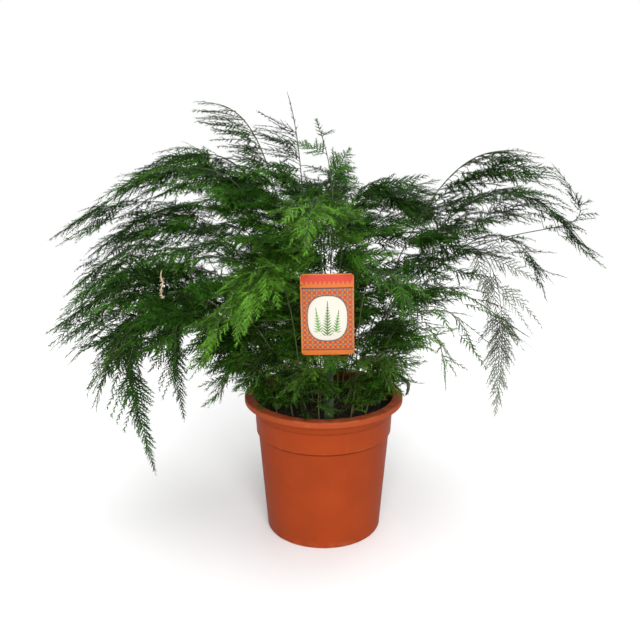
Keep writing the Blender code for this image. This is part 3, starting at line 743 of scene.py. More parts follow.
def hindered(points):
    """True for the points in the pot's wall, the soil or the label, or between it and the viewer."""
    x, y, z = points[..., 0], points[..., 1], points[..., 2]
    reach = np.hypot(x, y)
    outer = np.interp(z, POT_HEIGHTS, POT_RADII) + KEEP_OFF
    inner = np.interp(z, POT_HEIGHTS, INNER_RADII) - WALL - KEEP_OFF
    in_wall = (z < RIM_Z + KEEP_OFF) & (reach < outer) & (reach > inner)
    in_soil = (z < SOIL_MID_Z + KEEP_OFF) & (reach <= inner)
    turn = np.array(label_place().inverted())
    local = points @ turn[:3, :3].T + turn[:3, 3]
    across, ahead, high = local[..., 0], -local[..., 1], local[..., 2]
    half = LABEL_WIDE / 2
    seen = high - LABEL_SIGHT_SLOPE * ahead
    top = LABEL_CARD_UP + LABEL_TALL
    before = (ahead > 0) & (np.abs(across) < half) & (seen > LABEL_CARD_UP) & (seen < top)
    veiled = (across < VEIL_ACROSS * half) & (seen > top - VEIL_DEEP + VEIL_SLOPE * across)
    card = (np.abs(ahead) < KEEP_OFF) & (np.abs(across) < half + KEEP_OFF)
    card &= (high > LABEL_CARD_UP - KEEP_OFF) & (high < top + KEEP_OFF)
    return in_wall | in_soil | (before & ~veiled) | card


def bezier(stem, t):
    """A point on a stem's arch, from its foot at 0 to its tip at 1."""
    foot = Vector((*stem.foot, soil_height(*stem.foot)))
    tip = Vector(stem.tip)
    first = foot.lerp(tip, stem.rise[0])
    first.z = stem.rise[1]
    second = foot.lerp(tip, stem.over[0])
    second.z = stem.over[1]
    s = 1 - t
    return foot * s**3 + first * (3 * s * s * t) + second * (3 * s * t * t) + tip * t**3


def heading(stem):
    """The level direction in which a stem leans."""
    return Vector((stem.tip[0] - stem.foot[0], stem.tip[1] - stem.foot[1], 0)).normalized()


def stem_point(stem, t):
    """The arch with a gentle sideways sway, none at either end."""
    sway = random.Random(stem.name).uniform(-STEM_SWAY, STEM_SWAY)
    return bezier(stem, t) + heading(stem).cross(UP) * (sway * math.sin(math.pi * t) ** 2)


def tangent(stem, t):
    before, after = max(0, t - TANGENT_STEP), min(1, t + TANGENT_STEP)
    return (stem_point(stem, after) - stem_point(stem, before)).normalized()


def spray_length(stem, share, rng):
    """How long the spray is at this share of the leafy stretch: a triangular frond."""
    start = FIRST_SPRAY_SHARE + (1 - FIRST_SPRAY_SHARE) * min(1, share / LONGEST_SPRAY_AT)
    chance = rng.uniform(1 - LENGTH_SPREAD, 1 + LENGTH_SPREAD)
    return stem.spread * start * (1 - TIP_SHRINK * share) * chance


# Many alike twigs, as arrays: root, heading, bow, upper side, length and light or dark tone
Twigs = namedtuple("Twigs", "at out bend up reach tone")


def one_twig(at, out, bend, up, reach, tone):
    vectors = (np.array(v, float)[None] for v in (at, out, bend, up))
    return Twigs(*vectors, np.array([reach]), np.array([tone]))


def picked(twigs, chosen):
    return Twigs(*(values[chosen] for values in twigs))


def leafy_place(stem, share):
    """How far along the whole stem this share of its leafy stretch is."""
    return stem.bare + (LAST_SPRAY - stem.bare) * share


def spray_rib(stem, share, turn, seed, times, fall):
    """One spray's rib, at this share of the leafy stretch, to the left or the right, tilted by fall."""
    rng = random.Random(seed)
    t = leafy_place(stem, share)
    along, level = tangent(stem, t), heading(stem)
    side = level.cross(UP) * turn * math.cos(fall) - UP * math.sin(fall)
    if stem.habit.turned:
        side = Matrix.Rotation(SPRAY_TURN, 3, along) @ side
    forward = (along + level * (FORWARD_LEAN + UPRIGHT_LEAN * max(0.0, along.z))).normalized()
    sweep = SWEEP_LOW + (SWEEP_HIGH - SWEEP_LOW) * share + rng.uniform(-1, 1) * SWEEP_SPREAD
    way = forward * math.cos(sweep) + side * math.sin(sweep)
    up = way.cross(forward) * turn
    up.normalize()
    if up.z < 0:
        up.negate()
    up = (up + UP * (LEVEL_PLUMES * abs(level.x) * (1 - along.z**2))).normalized()
    up = Matrix.Rotation(rng.uniform(-1, 1) * ROLL_SPREAD, 3, way) @ up
    tilt = rng.uniform(-1, 1) * TILT_SPREAD
    length = spray_length(stem, share, rng) * times
    out = way * math.cos(tilt) + up * math.sin(tilt)
    facing = up * math.cos(tilt) - way * math.sin(tilt)
    bend = forward * SPRAY_CURL + UP * (math.sin(fall) * LEVEL_OUT - SPRAY_DROOP)
    # Painted shade: stems that hang in shadow get darker needles
    tone = rng.uniform(*TONES) - stem.habit.shade
    return one_twig(stem_point(stem, t), out, bend, facing, length, tone)


def point_on(twigs, owner, share):
    """The point at a share of the length of each twig that the owner numbers name."""
    share = np.asarray(share)[:, None]
    bow = twigs.out[owner] * share + twigs.bend[owner] * share**2
    return twigs.at[owner] + bow * twigs.reach[owner][:, None]


def heading_on(twigs, owner, share):
    return unit(twigs.out[owner] + 2 * twigs.bend[owner] * np.asarray(share)[:, None])


def squared_to(way, facing):
    """The facing with its part along the way taken off."""
    return unit(facing - way * np.sum(way * facing, -1, keepdims=True))


def triangle_round(at, along, up, radius):
    """Three corners round each point, across the given heading."""
    side = np.cross(along, up)
    radius = np.broadcast_to(np.asarray(radius, float), at.shape[:1])[:, None]
    turns = (0, math.tau / 3, -math.tau / 3)
    return np.stack([at + (up * math.cos(a) + side * math.sin(a)) * radius for a in turns], 1)


def spread_along(counts):
    """For each of many rows, its owner and its number among the owner's."""
    owner = np.repeat(np.arange(len(counts)), counts)
    return owner, np.arange(len(owner)) - np.repeat(np.cumsum(counts) - counts, counts)


def clear_of_pot(twigs):
    """The twigs whose root, middle and end are all in free air."""
    every = np.arange(len(twigs.reach))
    shares = (np.full(len(every), s) for s in (0.0, 0.5, 1.0))
    blocked = [hindered(point_on(twigs, every, share)) for share in shares]
    return picked(twigs, ~np.any(blocked, axis=0))


def fork(twigs, rng, pitch, share, sweep, least):
    """Side twigs in two ranks along each twig, longest near its foot."""
    counts = 2 * np.maximum(1, np.round(twigs.reach / pitch)).astype(int)
    owner, step = spread_along(counts)
    nudge = rng.uniform(-FORK_NUDGE, FORK_NUDGE, len(step))
    u = FORK_START + (FORK_END - FORK_START) * (step + 0.5 + nudge) / counts[owner]
    way = heading_on(twigs, owner, u)
    up = squared_to(way, twigs.up[owner])
    side = np.cross(way, up) * np.where(step % 2, 1.0, -1.0)[:, None]
    chance = rng.uniform(-FORK_SPREAD, FORK_SPREAD, len(u))
    angle = np.radians(sweep[0] + (sweep[1] - sweep[0]) * u + chance)[:, None]
    lift = rng.normal(0, FORK_LIFT, len(u))[:, None]
    out = unit(way * np.cos(angle) + side * np.sin(angle) + up * lift)
    bend = way * FORK_CURL - np.array(UP) * rng.uniform(0.0, FORK_DROOP, len(u))[:, None]
    swell = np.minimum(1, FORK_FOOT + (1 - FORK_FOOT) * u / FORK_LONGEST_AT)
    taper = swell * (1 - u) ** FORK_FADE
    shortest = least * (1 - 0.5 * u)
    longest = share * twigs.reach[owner] * taper
    reach = np.maximum(shortest, longest) * rng.uniform(*REACH_CHANCE, len(u))
    tone = twigs.tone[owner] + rng.normal(0, TONE_SPREAD, len(u)) + TONE_RISE * u
    return clear_of_pot(Twigs(point_on(twigs, owner, u), out, bend, up, reach, tone))


Plume = namedtuple("Plume", "needle wide pitch branch_pitch branch_share long_branch twig_pitch")


def plume_of(stem, size, share):
    """The plumes at this share of a stem: narrow high up on some, finer needles on a faded one."""
    faded = stem.habit.tint == "grey"
    narrow, start, end = stem.habit.narrow
    narrowed = min(1, max(0, (share - start) / (end - start)))
    return Plume(
        size.needle,
        size.needle_wide * (FADED_WIDTH if faded else 1),
        size.needle_pitch * (FADED_PITCH if faded else 1),
        size.branch_pitch,
        size.branch_share * (1 + (narrow - 1) * narrowed),
        size.long_branch,
        size.twig_pitch,
    )


def needle_pairs(shells, rng, twigs, size, start):
    """Needles in pairs along each twig from its share start, swept forward and shorter near the end."""
    counts = np.maximum(1, np.round(twigs.reach * (1 - start) / size.pitch)).astype(int)
    owner, step = spread_along(counts)
    share = start[owner] + (1 - start[owner]) * (step + NEEDLE_FIRST) / counts[owner]
    at, along = point_on(twigs, owner, share), heading_on(twigs, owner, share)
    free = ~hindered(at + along * size.needle)
    at, along, share, owner = at[free], along[free], share[free], owner[free]
    up = squared_to(along, twigs.up[owner])
    side = np.cross(along, up)
    root, slimmer = NEEDLE_ROOT
    half = along * (size.wide / 2 * (root - slimmer * share))[:, None]
    verts = [at - half, at + half]
    near, far = NEEDLE_SWEEP
    for turn in (1, -1):
        chance = rng.uniform(-NEEDLE_SPREAD, NEEDLE_SPREAD, len(at))
        angle = np.radians(near + (far - near) * share + chance)[:, None]
        lift = rng.normal(*NEEDLE_LIFT, len(at))[:, None]
        full = size.needle * (1 - NEEDLE_SHRINK * share**2)
        reach = full * rng.uniform(*REACH_CHANCE, len(at))
        way = unit(along * np.cos(angle) + side * (turn * np.sin(angle)) + up * lift)
        verts.append(at + way * reach[:, None])
    tone = twigs.tone[owner] + NEEDLE_TONE_RISE * share
    shells.add(np.stack(verts, 1), PAIR, 0, tone=tone)


def slivers(shells, twigs, width):
    """Each short twig as one flat sliver."""
    side = np.cross(twigs.out, squared_to(twigs.out, twigs.up)) * width / 2
    end = point_on(twigs, np.arange(len(twigs.reach)), np.ones(len(twigs.reach)))
    shells.add(np.stack([twigs.at - side, twigs.at + side, end], 1), SLIVER, 0, tone=twigs.tone)


def ribbons(shells, twigs, width):
    """Each longer branch as a ribbon that bows and narrows to a point."""
    every = np.arange(len(twigs.reach))
    side = np.cross(twigs.out, squared_to(twigs.out, twigs.up)) * width / 2
    middle, end = (point_on(twigs, every, np.full(len(every), s)) for s in (0.5, 1.0))
    belly = side * RIBBON_BELLY
    corners = [twigs.at - side, twigs.at + side, middle - belly, middle + belly, end]
    shells.add(np.stack(corners, 1), RIBBON, 0, tone=twigs.tone)


def plume(shells, rng, rib, size):
    """A flat plume: branches on either side of the rib, twigs on the longer ones, needles on all."""
    branches = fork(rib, rng, size.branch_pitch, size.branch_share, BRANCH_SWEEP, SHORTEST_BRANCH)
    if not len(branches.reach):
        return
    ribbons(shells, branches, size.wide * RIBBON_WIDE)
    long = branches.reach > size.long_branch
    start = np.where(long, NEEDLES_ON_LONG_BRANCH, NEEDLES_ON_BRANCH)
    needle_pairs(shells, rng, branches, size, start)
    if long.any():
        parents = picked(branches, long)
        twigs = fork(parents, rng, size.twig_pitch, TWIG_SHARE, TWIG_SWEEP, SHORTEST_TWIG)
        slivers(shells, twigs, size.wide * RIBBON_WIDE)
        needle_pairs(shells, rng, twigs, size, np.full(len(twigs.reach), NEEDLES_ON_TWIG))
    needle_pairs(shells, rng, rib, size, np.array([NEEDLES_ON_RIB]))


def spray(shells, rng, stem, share, turn, seed, times, size, fall=0.0, drop=0.0):
    """One spray: its rib with a small spur under its root, and the plume along it.

    A spray with a drop hangs that far below the stem, on a bare stalk of its own.
    """
    rib = spray_rib(stem, share, turn, seed, times, fall)
    root = rib.at[0]
    along = tangent(stem, leafy_place(stem, share))
    if drop:
        drop *= (1 - along.z**2) * (1 - STALK_SHORTER * max(0.0, share))
        aside = along * STALK_AHEAD + heading(stem).cross(UP) * (turn * STALK_ASIDE)
        rib = rib._replace(at=rib.at + np.array(aside * abs(drop) - UP * drop))
    line = point_on(rib, np.zeros(RIB_POINTS, int), np.linspace(0, 1, RIB_POINTS))
    if drop:
        elbow = root + np.array(along) * abs(drop) * STALK_ELBOW
        stalk = [
            root * (1 - t) ** 2 + elbow * (2 * t * (1 - t)) + line[0] * t * t for t in STALK_SHARES
        ]
        line = np.vstack([stalk, line])
    if hindered(line[1:]).any():
        return
    tube(shells, line, np.linspace(*RIB_RADII, len(line)), 3, 1)
    spur = np.array(along)
    root = triangle_round(line[:1], spur[None], squared_to(spur, rib.up[0])[None], SPUR_R)
    point = line[0] + (rib.out[0] * SPUR_LEAN - spur * SPUR_BACK) * SPUR_LONG
    shells.add(np.concatenate([root, point[None, None]], 1), SPIKE, 1)
    plume(shells, rng, rib, plume_of(stem, size, share))


def tip_plume(shells, rng, stem, size):
    """The plume along the stem's own end."""
    middle = (1 + TIP_START) / 2
    start, halfway, end = (stem_point(stem, t) for t in (TIP_START, middle, 1))
    span = end - start
    bow = (end + start) / 2 - halfway
    reach = span.length
    across = heading(stem).cross(UP)
    along = tangent(stem, middle)
    if stem.habit.turned:
        across = Matrix.Rotation(SPRAY_TURN, 3, along) @ across
    # Painted shade: stems that hang in shadow get a darker tip plume
    facing, tone = across.cross(along), 0.5 - stem.habit.shade
    rib = one_twig(start, (span - bow * 2) / reach, bow * 2 / reach, facing, reach, tone)
    plume(shells, rng, rib, plume_of(stem, size, 1.0))


def withered_spray(shells, rng, stem):
    """A dead spray: a dry stalk that hangs from the stem towards the viewer, with curled needles."""
    line = smooth_line([stem_point(stem, WITHERED_AT), *WITHERED_LINE], WITHERED_STEPS)
    green, dead = line[: WITHERED_GREEN + 1], line[WITHERED_GREEN - 1 :]
    tube(shells, green, np.full(len(green), WITHERED_STALK_R), 4, 1)
    tube(shells, dead, np.linspace(*WITHERED_RADII, len(dead)), 4, 2)
    half = np.array((0, 0, WITHERED_NEEDLE_HALF))
    for point in line[WITHERED_GREEN + 2 :]:
        for turn in (1, -1):
            side = np.array((turn, *(rng.uniform(*span) for span in WITHERED_CURL)))
            end = point + side * rng.uniform(*WITHERED_NEEDLE)
            shells.add(np.array([point - half, point + half, end])[None], SLIVER, 2)


def stem_piece(stem, size, materials):
    """One stem: its stalk, its sprays, the lesser and inner sprays and the plume at its tip."""
    shells = Shells()
    rng = seeded(stem.name)
    habit = stem.habit
    shares = np.linspace(0, 1, STEM_STEPS)
    line = np.array([stem_point(stem, t) for t in shares])
    foot = line[0] - np.array(tangent(stem, 0)) * STEM_HOLE_DEPTH
    radius = size.stem_foot + (size.stem_tip - size.stem_foot) * shares**STEM_TAPER
    tube(shells, np.vstack([foot, line]), np.append(size.stem_foot, radius), 6, 1)

    def grow(kind, number, share, times, fall=0.0, drop=0.0):
        turn = 1 if number % 2 else -1
        seed = f"{stem.name} {kind}{number}"
        spray(shells, rng, stem, share, turn, seed, times, size, fall, drop)

    for number in range(stem.sprays):
        grow("", number, (number + 0.5) / stem.sprays, 1.0)
    wanted = size.lesser_sprays if habit.lesser is None else habit.lesser
    lesser = round(wanted * stem.sprays)
    low, high = habit.between
    for number in range(lesser):
        share = low + (high - low) * ((number + 0.75) / lesser) ** habit.crowding
        times = (size.lesser_share + (1 - size.lesser_share) * share) * rng.uniform(*LESSER_CHANCE)
        grow("lesser ", number, share, times, rng.uniform(*LESSER_FALL), rng.uniform(*habit.drop))
    inner = size.inner_sprays if stem.spread > LOW_SPREAD else size.inner_sprays // 2
    for number in range(inner):
        along = INNER_LOW + INNER_SPREAD * (number + rng.random()) / inner
        t = min(stem.bare, INNER_TOP) * along
        share = (t - stem.bare) / (LAST_SPRAY - stem.bare)
        grow("inner ", number, share, INNER_TIMES, rng.uniform(*INNER_FALL))
    tip_plume(shells, rng, stem, size)
    if stem.name == WITHERED_STEM:
        withered_spray(shells, rng, stem)
    settle(shells.piece("fern_" + stem.name, materials), stem.name, "foliage_" + habit.tint)


def needle_finish(name, colour):
    """Needles: greens that change from clump to clump and from needle to needle, stretched at the
    ramp's ends into painted shade and painted highlights.
    """
    finish = Finish(name, Roughness=0.6, Specular_IOR_Level=0.1)
    clumps = finish.noise(16.0).step(0.32, 0.68)
    single = finish.per_island()
    tone = (finish.tone() * 0.7 + single * 0.16 + clumps * 0.2).step(0.12, 0.88)
    # The tone differs at random from twig to twig; the ramp's whitish top is a painted highlight and its
    # darkest stop, at 0.3 of the colour, painted shade
    pale = tuple(c * 2.4 + extra for c, extra in zip(colour, PAINTED_HIGHLIGHT_TINT))
    stops = ((0.0, tuned(colour, 0.3)), (0.5, colour), (0.82, tuned(colour, 2.0)), (1.0, pale))
    finish.feed("Base Color", finish.start.node("ShaderNodeValToRGB", {"stops": stops}, {0: tone}))
    finish.feed("Roughness", 0.5 + 0.2 * single)
    return finish.material


def wood_finish(name, size):
    """Wiry stalks: pale near the soil, green further out, with darker patches."""
    finish = Finish(name, Roughness=0.45)
    rise = finish.z.step(*WOOD_RISE)
    patches = finish.noise(60.0).step(0.35, 0.75)
    skin = rise.mix(size.pale_wood, size.wood)
    dark = rise.mix(tuned(size.pale_wood, 0.6), tuned(size.wood, 0.55))
    finish.feed("Base Color", patches.mix(skin, dark))
    finish.feed("Roughness", 0.35 + 0.3 * patches)
    return finish.material


def straw_finish(name, colour):
    """Dry straw with darker patches."""
    finish = Finish(name, Roughness=0.8)
    patches = finish.noise(240.0).step(0.35, 0.7)
    finish.feed("Base Color", patches.mix(colour, tuned(colour, 0.6)))
    return finish.material


def pot_profile(edge):
    """The pot's outline, from the axis under the base, up outside, over the lip and down inside."""

    def arc(cx, cz, radius, start, end, steps=5):
        turns = (math.radians(start + (end - start) * i / steps) for i in range(steps + 1))
        return [(cx + radius * math.cos(a), cz + radius * math.sin(a)) for a in turns]

    lip_low = RIM_Z - LIP_DROP
    under = RIM_Z - LIP_WALL
    step = STEP_Z - STEP_DROP
    far, near = BASE_HOLLOW_INSET
    outside = [(0, BASE_HOLLOW), (BASE_R - far, BASE_HOLLOW), (BASE_R - near, 0)]
    outside += arc(BASE_R - FOOT_R, FOOT_R, FOOT_R, -90, -8)
    outside += [(WALL_TOP_R - 0.0001, step - 0.0016), (WALL_TOP_R, step)]
    outside += arc(COLLAR_LOW_R - COLLAR_EDGE_R, STEP_Z + 0.0002, COLLAR_EDGE_R, -70, 0, 4)
    outside += [(COLLAR_TOP_R - 0.0002, under - 0.0022)]
    outside += [(COLLAR_TOP_R + 0.0005, under - 0.0006), (COLLAR_TOP_R + 0.0016, under)]
    outside += [(LIP_R - LIP_WALL - 0.0008, under), (LIP_R - LIP_WALL, under - 0.0008)]
    outside += arc(LIP_R - LIP_WALL / 2, lip_low + LIP_WALL / 2, LIP_WALL / 2, -180, -2, 6)
    outside += arc(LIP_R - LIP_EDGE_R, RIM_Z - LIP_EDGE_R, LIP_EDGE_R, 0, 90, 6)
    inside = arc(COLLAR_TOP_R + 0.0002, RIM_Z - edge, edge, 90, 176, 5)
    inside += [(COLLAR_LOW_R - WALL, STEP_Z + 0.002), (WALL_TOP_R - WALL, step)]
    inside += [(BASE_R - WALL - FOOT_R, BASE_THICK), (0, BASE_THICK)]
    return outside + inside


def turned(name, profile, sides, material):
    """A piece turned round Z from an outline that starts and ends on the axis."""
    mesh = bpy.data.meshes.new(name)
    bm = bmesh.new()
    points = [bm.verts.new((r, 0, z)) for r, z in profile]
    edges = [bm.edges.new(pair) for pair in zip(points, points[1:])]
    turn = {"cent": (0, 0, 0), "axis": UP, "angle": math.tau, "steps": sides, "use_merge": True}
    bmesh.ops.spin(bm, geom=points + edges, **turn)
    bmesh.ops.remove_doubles(bm, verts=bm.verts, dist=1e-6)
    bmesh.ops.recalc_face_normals(bm, faces=bm.faces)
    bm.to_mesh(mesh)
    bm.free()
    mesh.shade_smooth()
    mesh.set_sharp_from_angle(angle=SHARP_ANGLE)
    mesh.materials.append(material)
    return linked(name, mesh)


def drill(piece):
    """The drain holes through the pot's base."""
    for i in range(DRAIN_HOLES):
        turn = math.tau * (i + 0.5) / DRAIN_HOLES
        place = (DRAIN_RING_R * math.cos(turn), DRAIN_RING_R * math.sin(turn), DRAIN_HOLE_Z)
        size = {"vertices": DRAIN_HOLE_SIDES, "radius": DRAIN_HOLE_R, "depth": DRAIN_HOLE_R * 2}
        bpy.ops.mesh.primitive_cylinder_add(location=place, **size)
        cutter = bpy.context.object
        boolean = piece.modifiers.new("drain", "BOOLEAN")
        boolean.object = cutter
        boolean.operation = "DIFFERENCE"
        graph = bpy.context.evaluated_depsgraph_get()
        mesh = bpy.data.meshes.new_from_object(piece.evaluated_get(graph), depsgraph=graph)
        piece.modifiers.clear()
        piece.data = mesh
        bpy.data.objects.remove(cutter, do_unlink=True)


def pot_finish(settings):
    """Matt terracotta plastic: a dark line of painted shade under the step, chalky scuffs at its
    edges, painted shade on the wall inside its rim, painted light on the collar and a painted
    highlight on the lip.
    """
    finish = Finish("terracotta_plastic", Roughness=0.5, Specular_IOR_Level=0.04)
    mottle = finish.noise(22.0, 4.0).step(0.3, 0.75)
    body = mottle.mix(tuned(settings.plastic, 0.93), tuned(settings.plastic, 1.06))
    speck = finish.noise(420.0, 2.0).step(0.62, 0.72)
    body = (speck * 0.35).mix(body, tuned(settings.plastic, 0.7))
    # Painted light: the collar above the step is made lighter than the wall below it
    collar = finish.z.step(STEP_Z - 0.004, STEP_Z + 0.002)
    body = (collar * 0.3).mix(body, tuned(settings.plastic, 1.25))
    # Painted shade: a dark band just under the collar's ledge, where its shadow falls
    painted_shade_under_step = finish.z.band(STEP_Z - 0.0036, STEP_Z - 0.0022, STEP_Z - 0.0012, STEP_Z - 0.0004)
    body = (painted_shade_under_step * 0.8).mix(body, tuned(settings.plastic, 0.28))
    # Painted highlight: the lip is mixed a little towards the paler faded plastic, as a sheen
    lip = finish.z.step(RIM_Z - LIP_DROP - 0.002, RIM_Z - LIP_DROP)
    body = (lip * 0.16).mix(body, settings.faded)
    edge = finish.z.step(RIM_Z - 0.0026, RIM_Z - 0.0004)
    foot = 1 - finish.z.step(0.0, 0.012)
    ridge = finish.z.band(STEP_Z - 0.0012, STEP_Z + 0.0002, STEP_Z + 0.0004, STEP_Z + 0.0016)
    chafe = finish.noise(75.0, 6.0).step(0.42, 0.62)
    wear = (edge * 0.75).larger(foot * 0.55).larger(ridge * 0.5) * chafe
    streaks = finish.noise(9.0, 4.0, finish.stretched((9.0, 9.0, 0.9))).step(0.60, 0.82)
    body = (wear * 0.55).larger(streaks * 0.16).mix(body, settings.faded)
    # Painted shade: the wall inside the rim, above the soil, is painted nearly black, a little unevenly
    squared = finish.x * finish.x + finish.y * finish.y
    within = 1 - squared.step((COLLAR_TOP_R - WALL * 0.8) ** 2, (COLLAR_TOP_R - WALL * 0.5) ** 2)
    above_soil = finish.z.step(SOIL_EDGE_Z - 0.004, SOIL_EDGE_Z - 0.003)
    body = (within * above_soil * (0.62 + 0.3 * chafe)).mix(body, settings.painted_shade_inside_rim)
    finish.feed("Base Color", body)
    finish.feed("Roughness", 0.43 + 0.10 * mottle + 0.18 * wear)
    drawn = finish.noise(5.0, 2.0, finish.stretched((1.5, 1.5, 260.0)))
    grain = finish.noise(900.0, 2.0)
    finish.bump(drawn * 0.5 + grain * 0.5, 0.22, 0.0003)
    return finish.material


class FERN_OT_pot(bpy.types.Operator):
    """Turn the moulded pot with its lip, collar and drain holes"""

    bl_idname = "fern.pot"
    bl_label = "Pot"

    def execute(self, context):
        settings = context.scene.fern_pot
        pot = turned("fern_pot", pot_profile(settings.edge), settings.sides, pot_finish(settings))
        drill(pot)
        settle(pot, "pot", "pot")
        return {"FINISHED"}


def soil_finish(settings):
    finish = Finish("damp_peat", Roughness=0.95, Specular_IOR_Level=0.2)
    lumps = finish.noise(160.0, 6.0).step(0.35, 0.75)
    single = finish.per_island()
    colour = (lumps * 0.5 + single * single * 0.5).mix(settings.peat, settings.dry_peat)
    finish.feed("Base Color", colour)
    finish.bump(finish.noise(700.0, 5.0), 0.6, 0.0006)
    return finish.material


def soil_ground(shells, rings=34, around=110):
    """The peat's rough surface as a closed cake inside the pot."""
    reach = SOIL_R - SOIL_GAP
    verts = [(0.0, 0.0, SOIL_MID_Z)]
    for ring in range(1, rings + 1):
        for k in range(around):
            turn = math.tau * k / around
            r = reach * ring / rings
            x, y = r * math.cos(turn), r * math.sin(turn)
            rough = noise.fractal(Vector((x, y, 0)) * ROUGH_SCALE, 0.8, 2.1, 5) * ROUGH_HEIGHT
            verts.append((x, y, soil_height(x, y) + rough))
    foot = len(verts)
    for k in range(around):
        turn = math.tau * k / around
        r = reach - SOIL_FOOT_INSET
        verts.append((r * math.cos(turn), r * math.sin(turn), SOIL_EDGE_Z - SOIL_DEEP))
    verts.append((0.0, 0.0, SOIL_EDGE_Z - SOIL_DEEP))
    faces = [(0, 1 + k, 1 + (k + 1) % around) for k in range(around)]
    for ring in range(rings):
        for k in range(around):
            a, b = 1 + ring * around + k, 1 + ring * around + (k + 1) % around
            faces += [(a, a + around, b + around), (a, b + around, b)]
    end = len(verts) - 1
    faces += [(end, foot + (k + 1) % around, foot + k) for k in range(around)]
    shells.add(np.array(verts)[None], faces, 0, True)


def crumbs(shells, settings):
    """Loose crumbs: lumpy balls half sunk in the peat, and short fibres between them."""
    rng = seeded("crumbs")
    bm = bmesh.new()
    bmesh.ops.create_icosphere(bm, subdivisions=1, radius=1)
    ball = np.array([v.co for v in bm.verts])
    pattern = [tuple(v.index for v in face.verts) for face in bm.faces]
    bm.free()
    count = settings.crumbs
    reach = (SOIL_R - CRUMB_FROM_WALL) * np.sqrt(rng.random(count))
    turn = rng.uniform(0, math.tau, count)
    radius = settings.crumb * rng.lognormal(0, CRUMB_SPREAD, count).clip(*CRUMB_LIMITS)
    lumps = rng.uniform(*CRUMB_LUMPS, (count, len(ball), 1))
    shape = ball[None] * lumps * rng.uniform(*CRUMB_STRETCH, (count, 1, 3))
    x, y = reach * np.cos(turn), reach * np.sin(turn)
    high = SOIL_MID_Z - (SOIL_MID_Z - SOIL_EDGE_Z) * (reach / SOIL_R) ** 2
    middle = np.stack([x, y, high + radius * CRUMB_UP], -1)
    shells.add(middle[:, None] + shape * radius[:, None, None], pattern, 0)
    fibres = count // 4
    start = middle[:fibres] + rng.normal(0, FIBRE_SCATTER, (fibres, 3)) * (1, 1, 0.2)
    way = unit(rng.normal(0, 1, (fibres, 3)) * (1, 1, 0.3))
    ends = start + way * rng.uniform(*FIBRE_LONG, (fibres, 1))
    up = squared_to(way, np.tile((0.0, 0.0, 1.0), (fibres, 1)))
    root = triangle_round(start, way, up, FIBRE_R)
    inside = np.hypot(ends[:, 0], ends[:, 1]) < SOIL_R - FIBRE_FROM_WALL
    shells.add(np.concatenate([root, ends[:, None]], 1)[inside], SPIKE, 0)


class FERN_OT_soil(bpy.types.Operator):
    """Fill the pot with dark crumbly peat"""

    bl_idname = "fern.soil"
    bl_label = "Soil"

    def execute(self, context):
        settings = context.scene.fern_soil
        shells = Shells()
        soil_ground(shells)
        crumbs(shells, settings)
        soil = shells.piece("fern_soil", [soil_finish(settings)])
        settle(soil, "soil", "soil")
        return {"FINISHED"}


def fraction(wire):
    return wire.maths("FRACT", wire)


def sprig(x, z, lean, long, wide):
    """Where the leaves and the stalk of a printed sprig are: it stands at 0, 0 and narrows upwards."""
    up = z * math.cos(lean) + x * math.sin(lean)
    aside = abs(x * math.cos(lean) - z * math.sin(lean))
    reach = (1 - up / long) * wide
    leaf = abs(fraction((up - aside * 0.7) / LEAF_STEP) - 0.5).below((1 - aside / reach) * 0.42)
    stalk = aside.below(STALK_HALF)
    return leaf.larger(stalk) * (0 - up).below(0.0) * up.below(long)


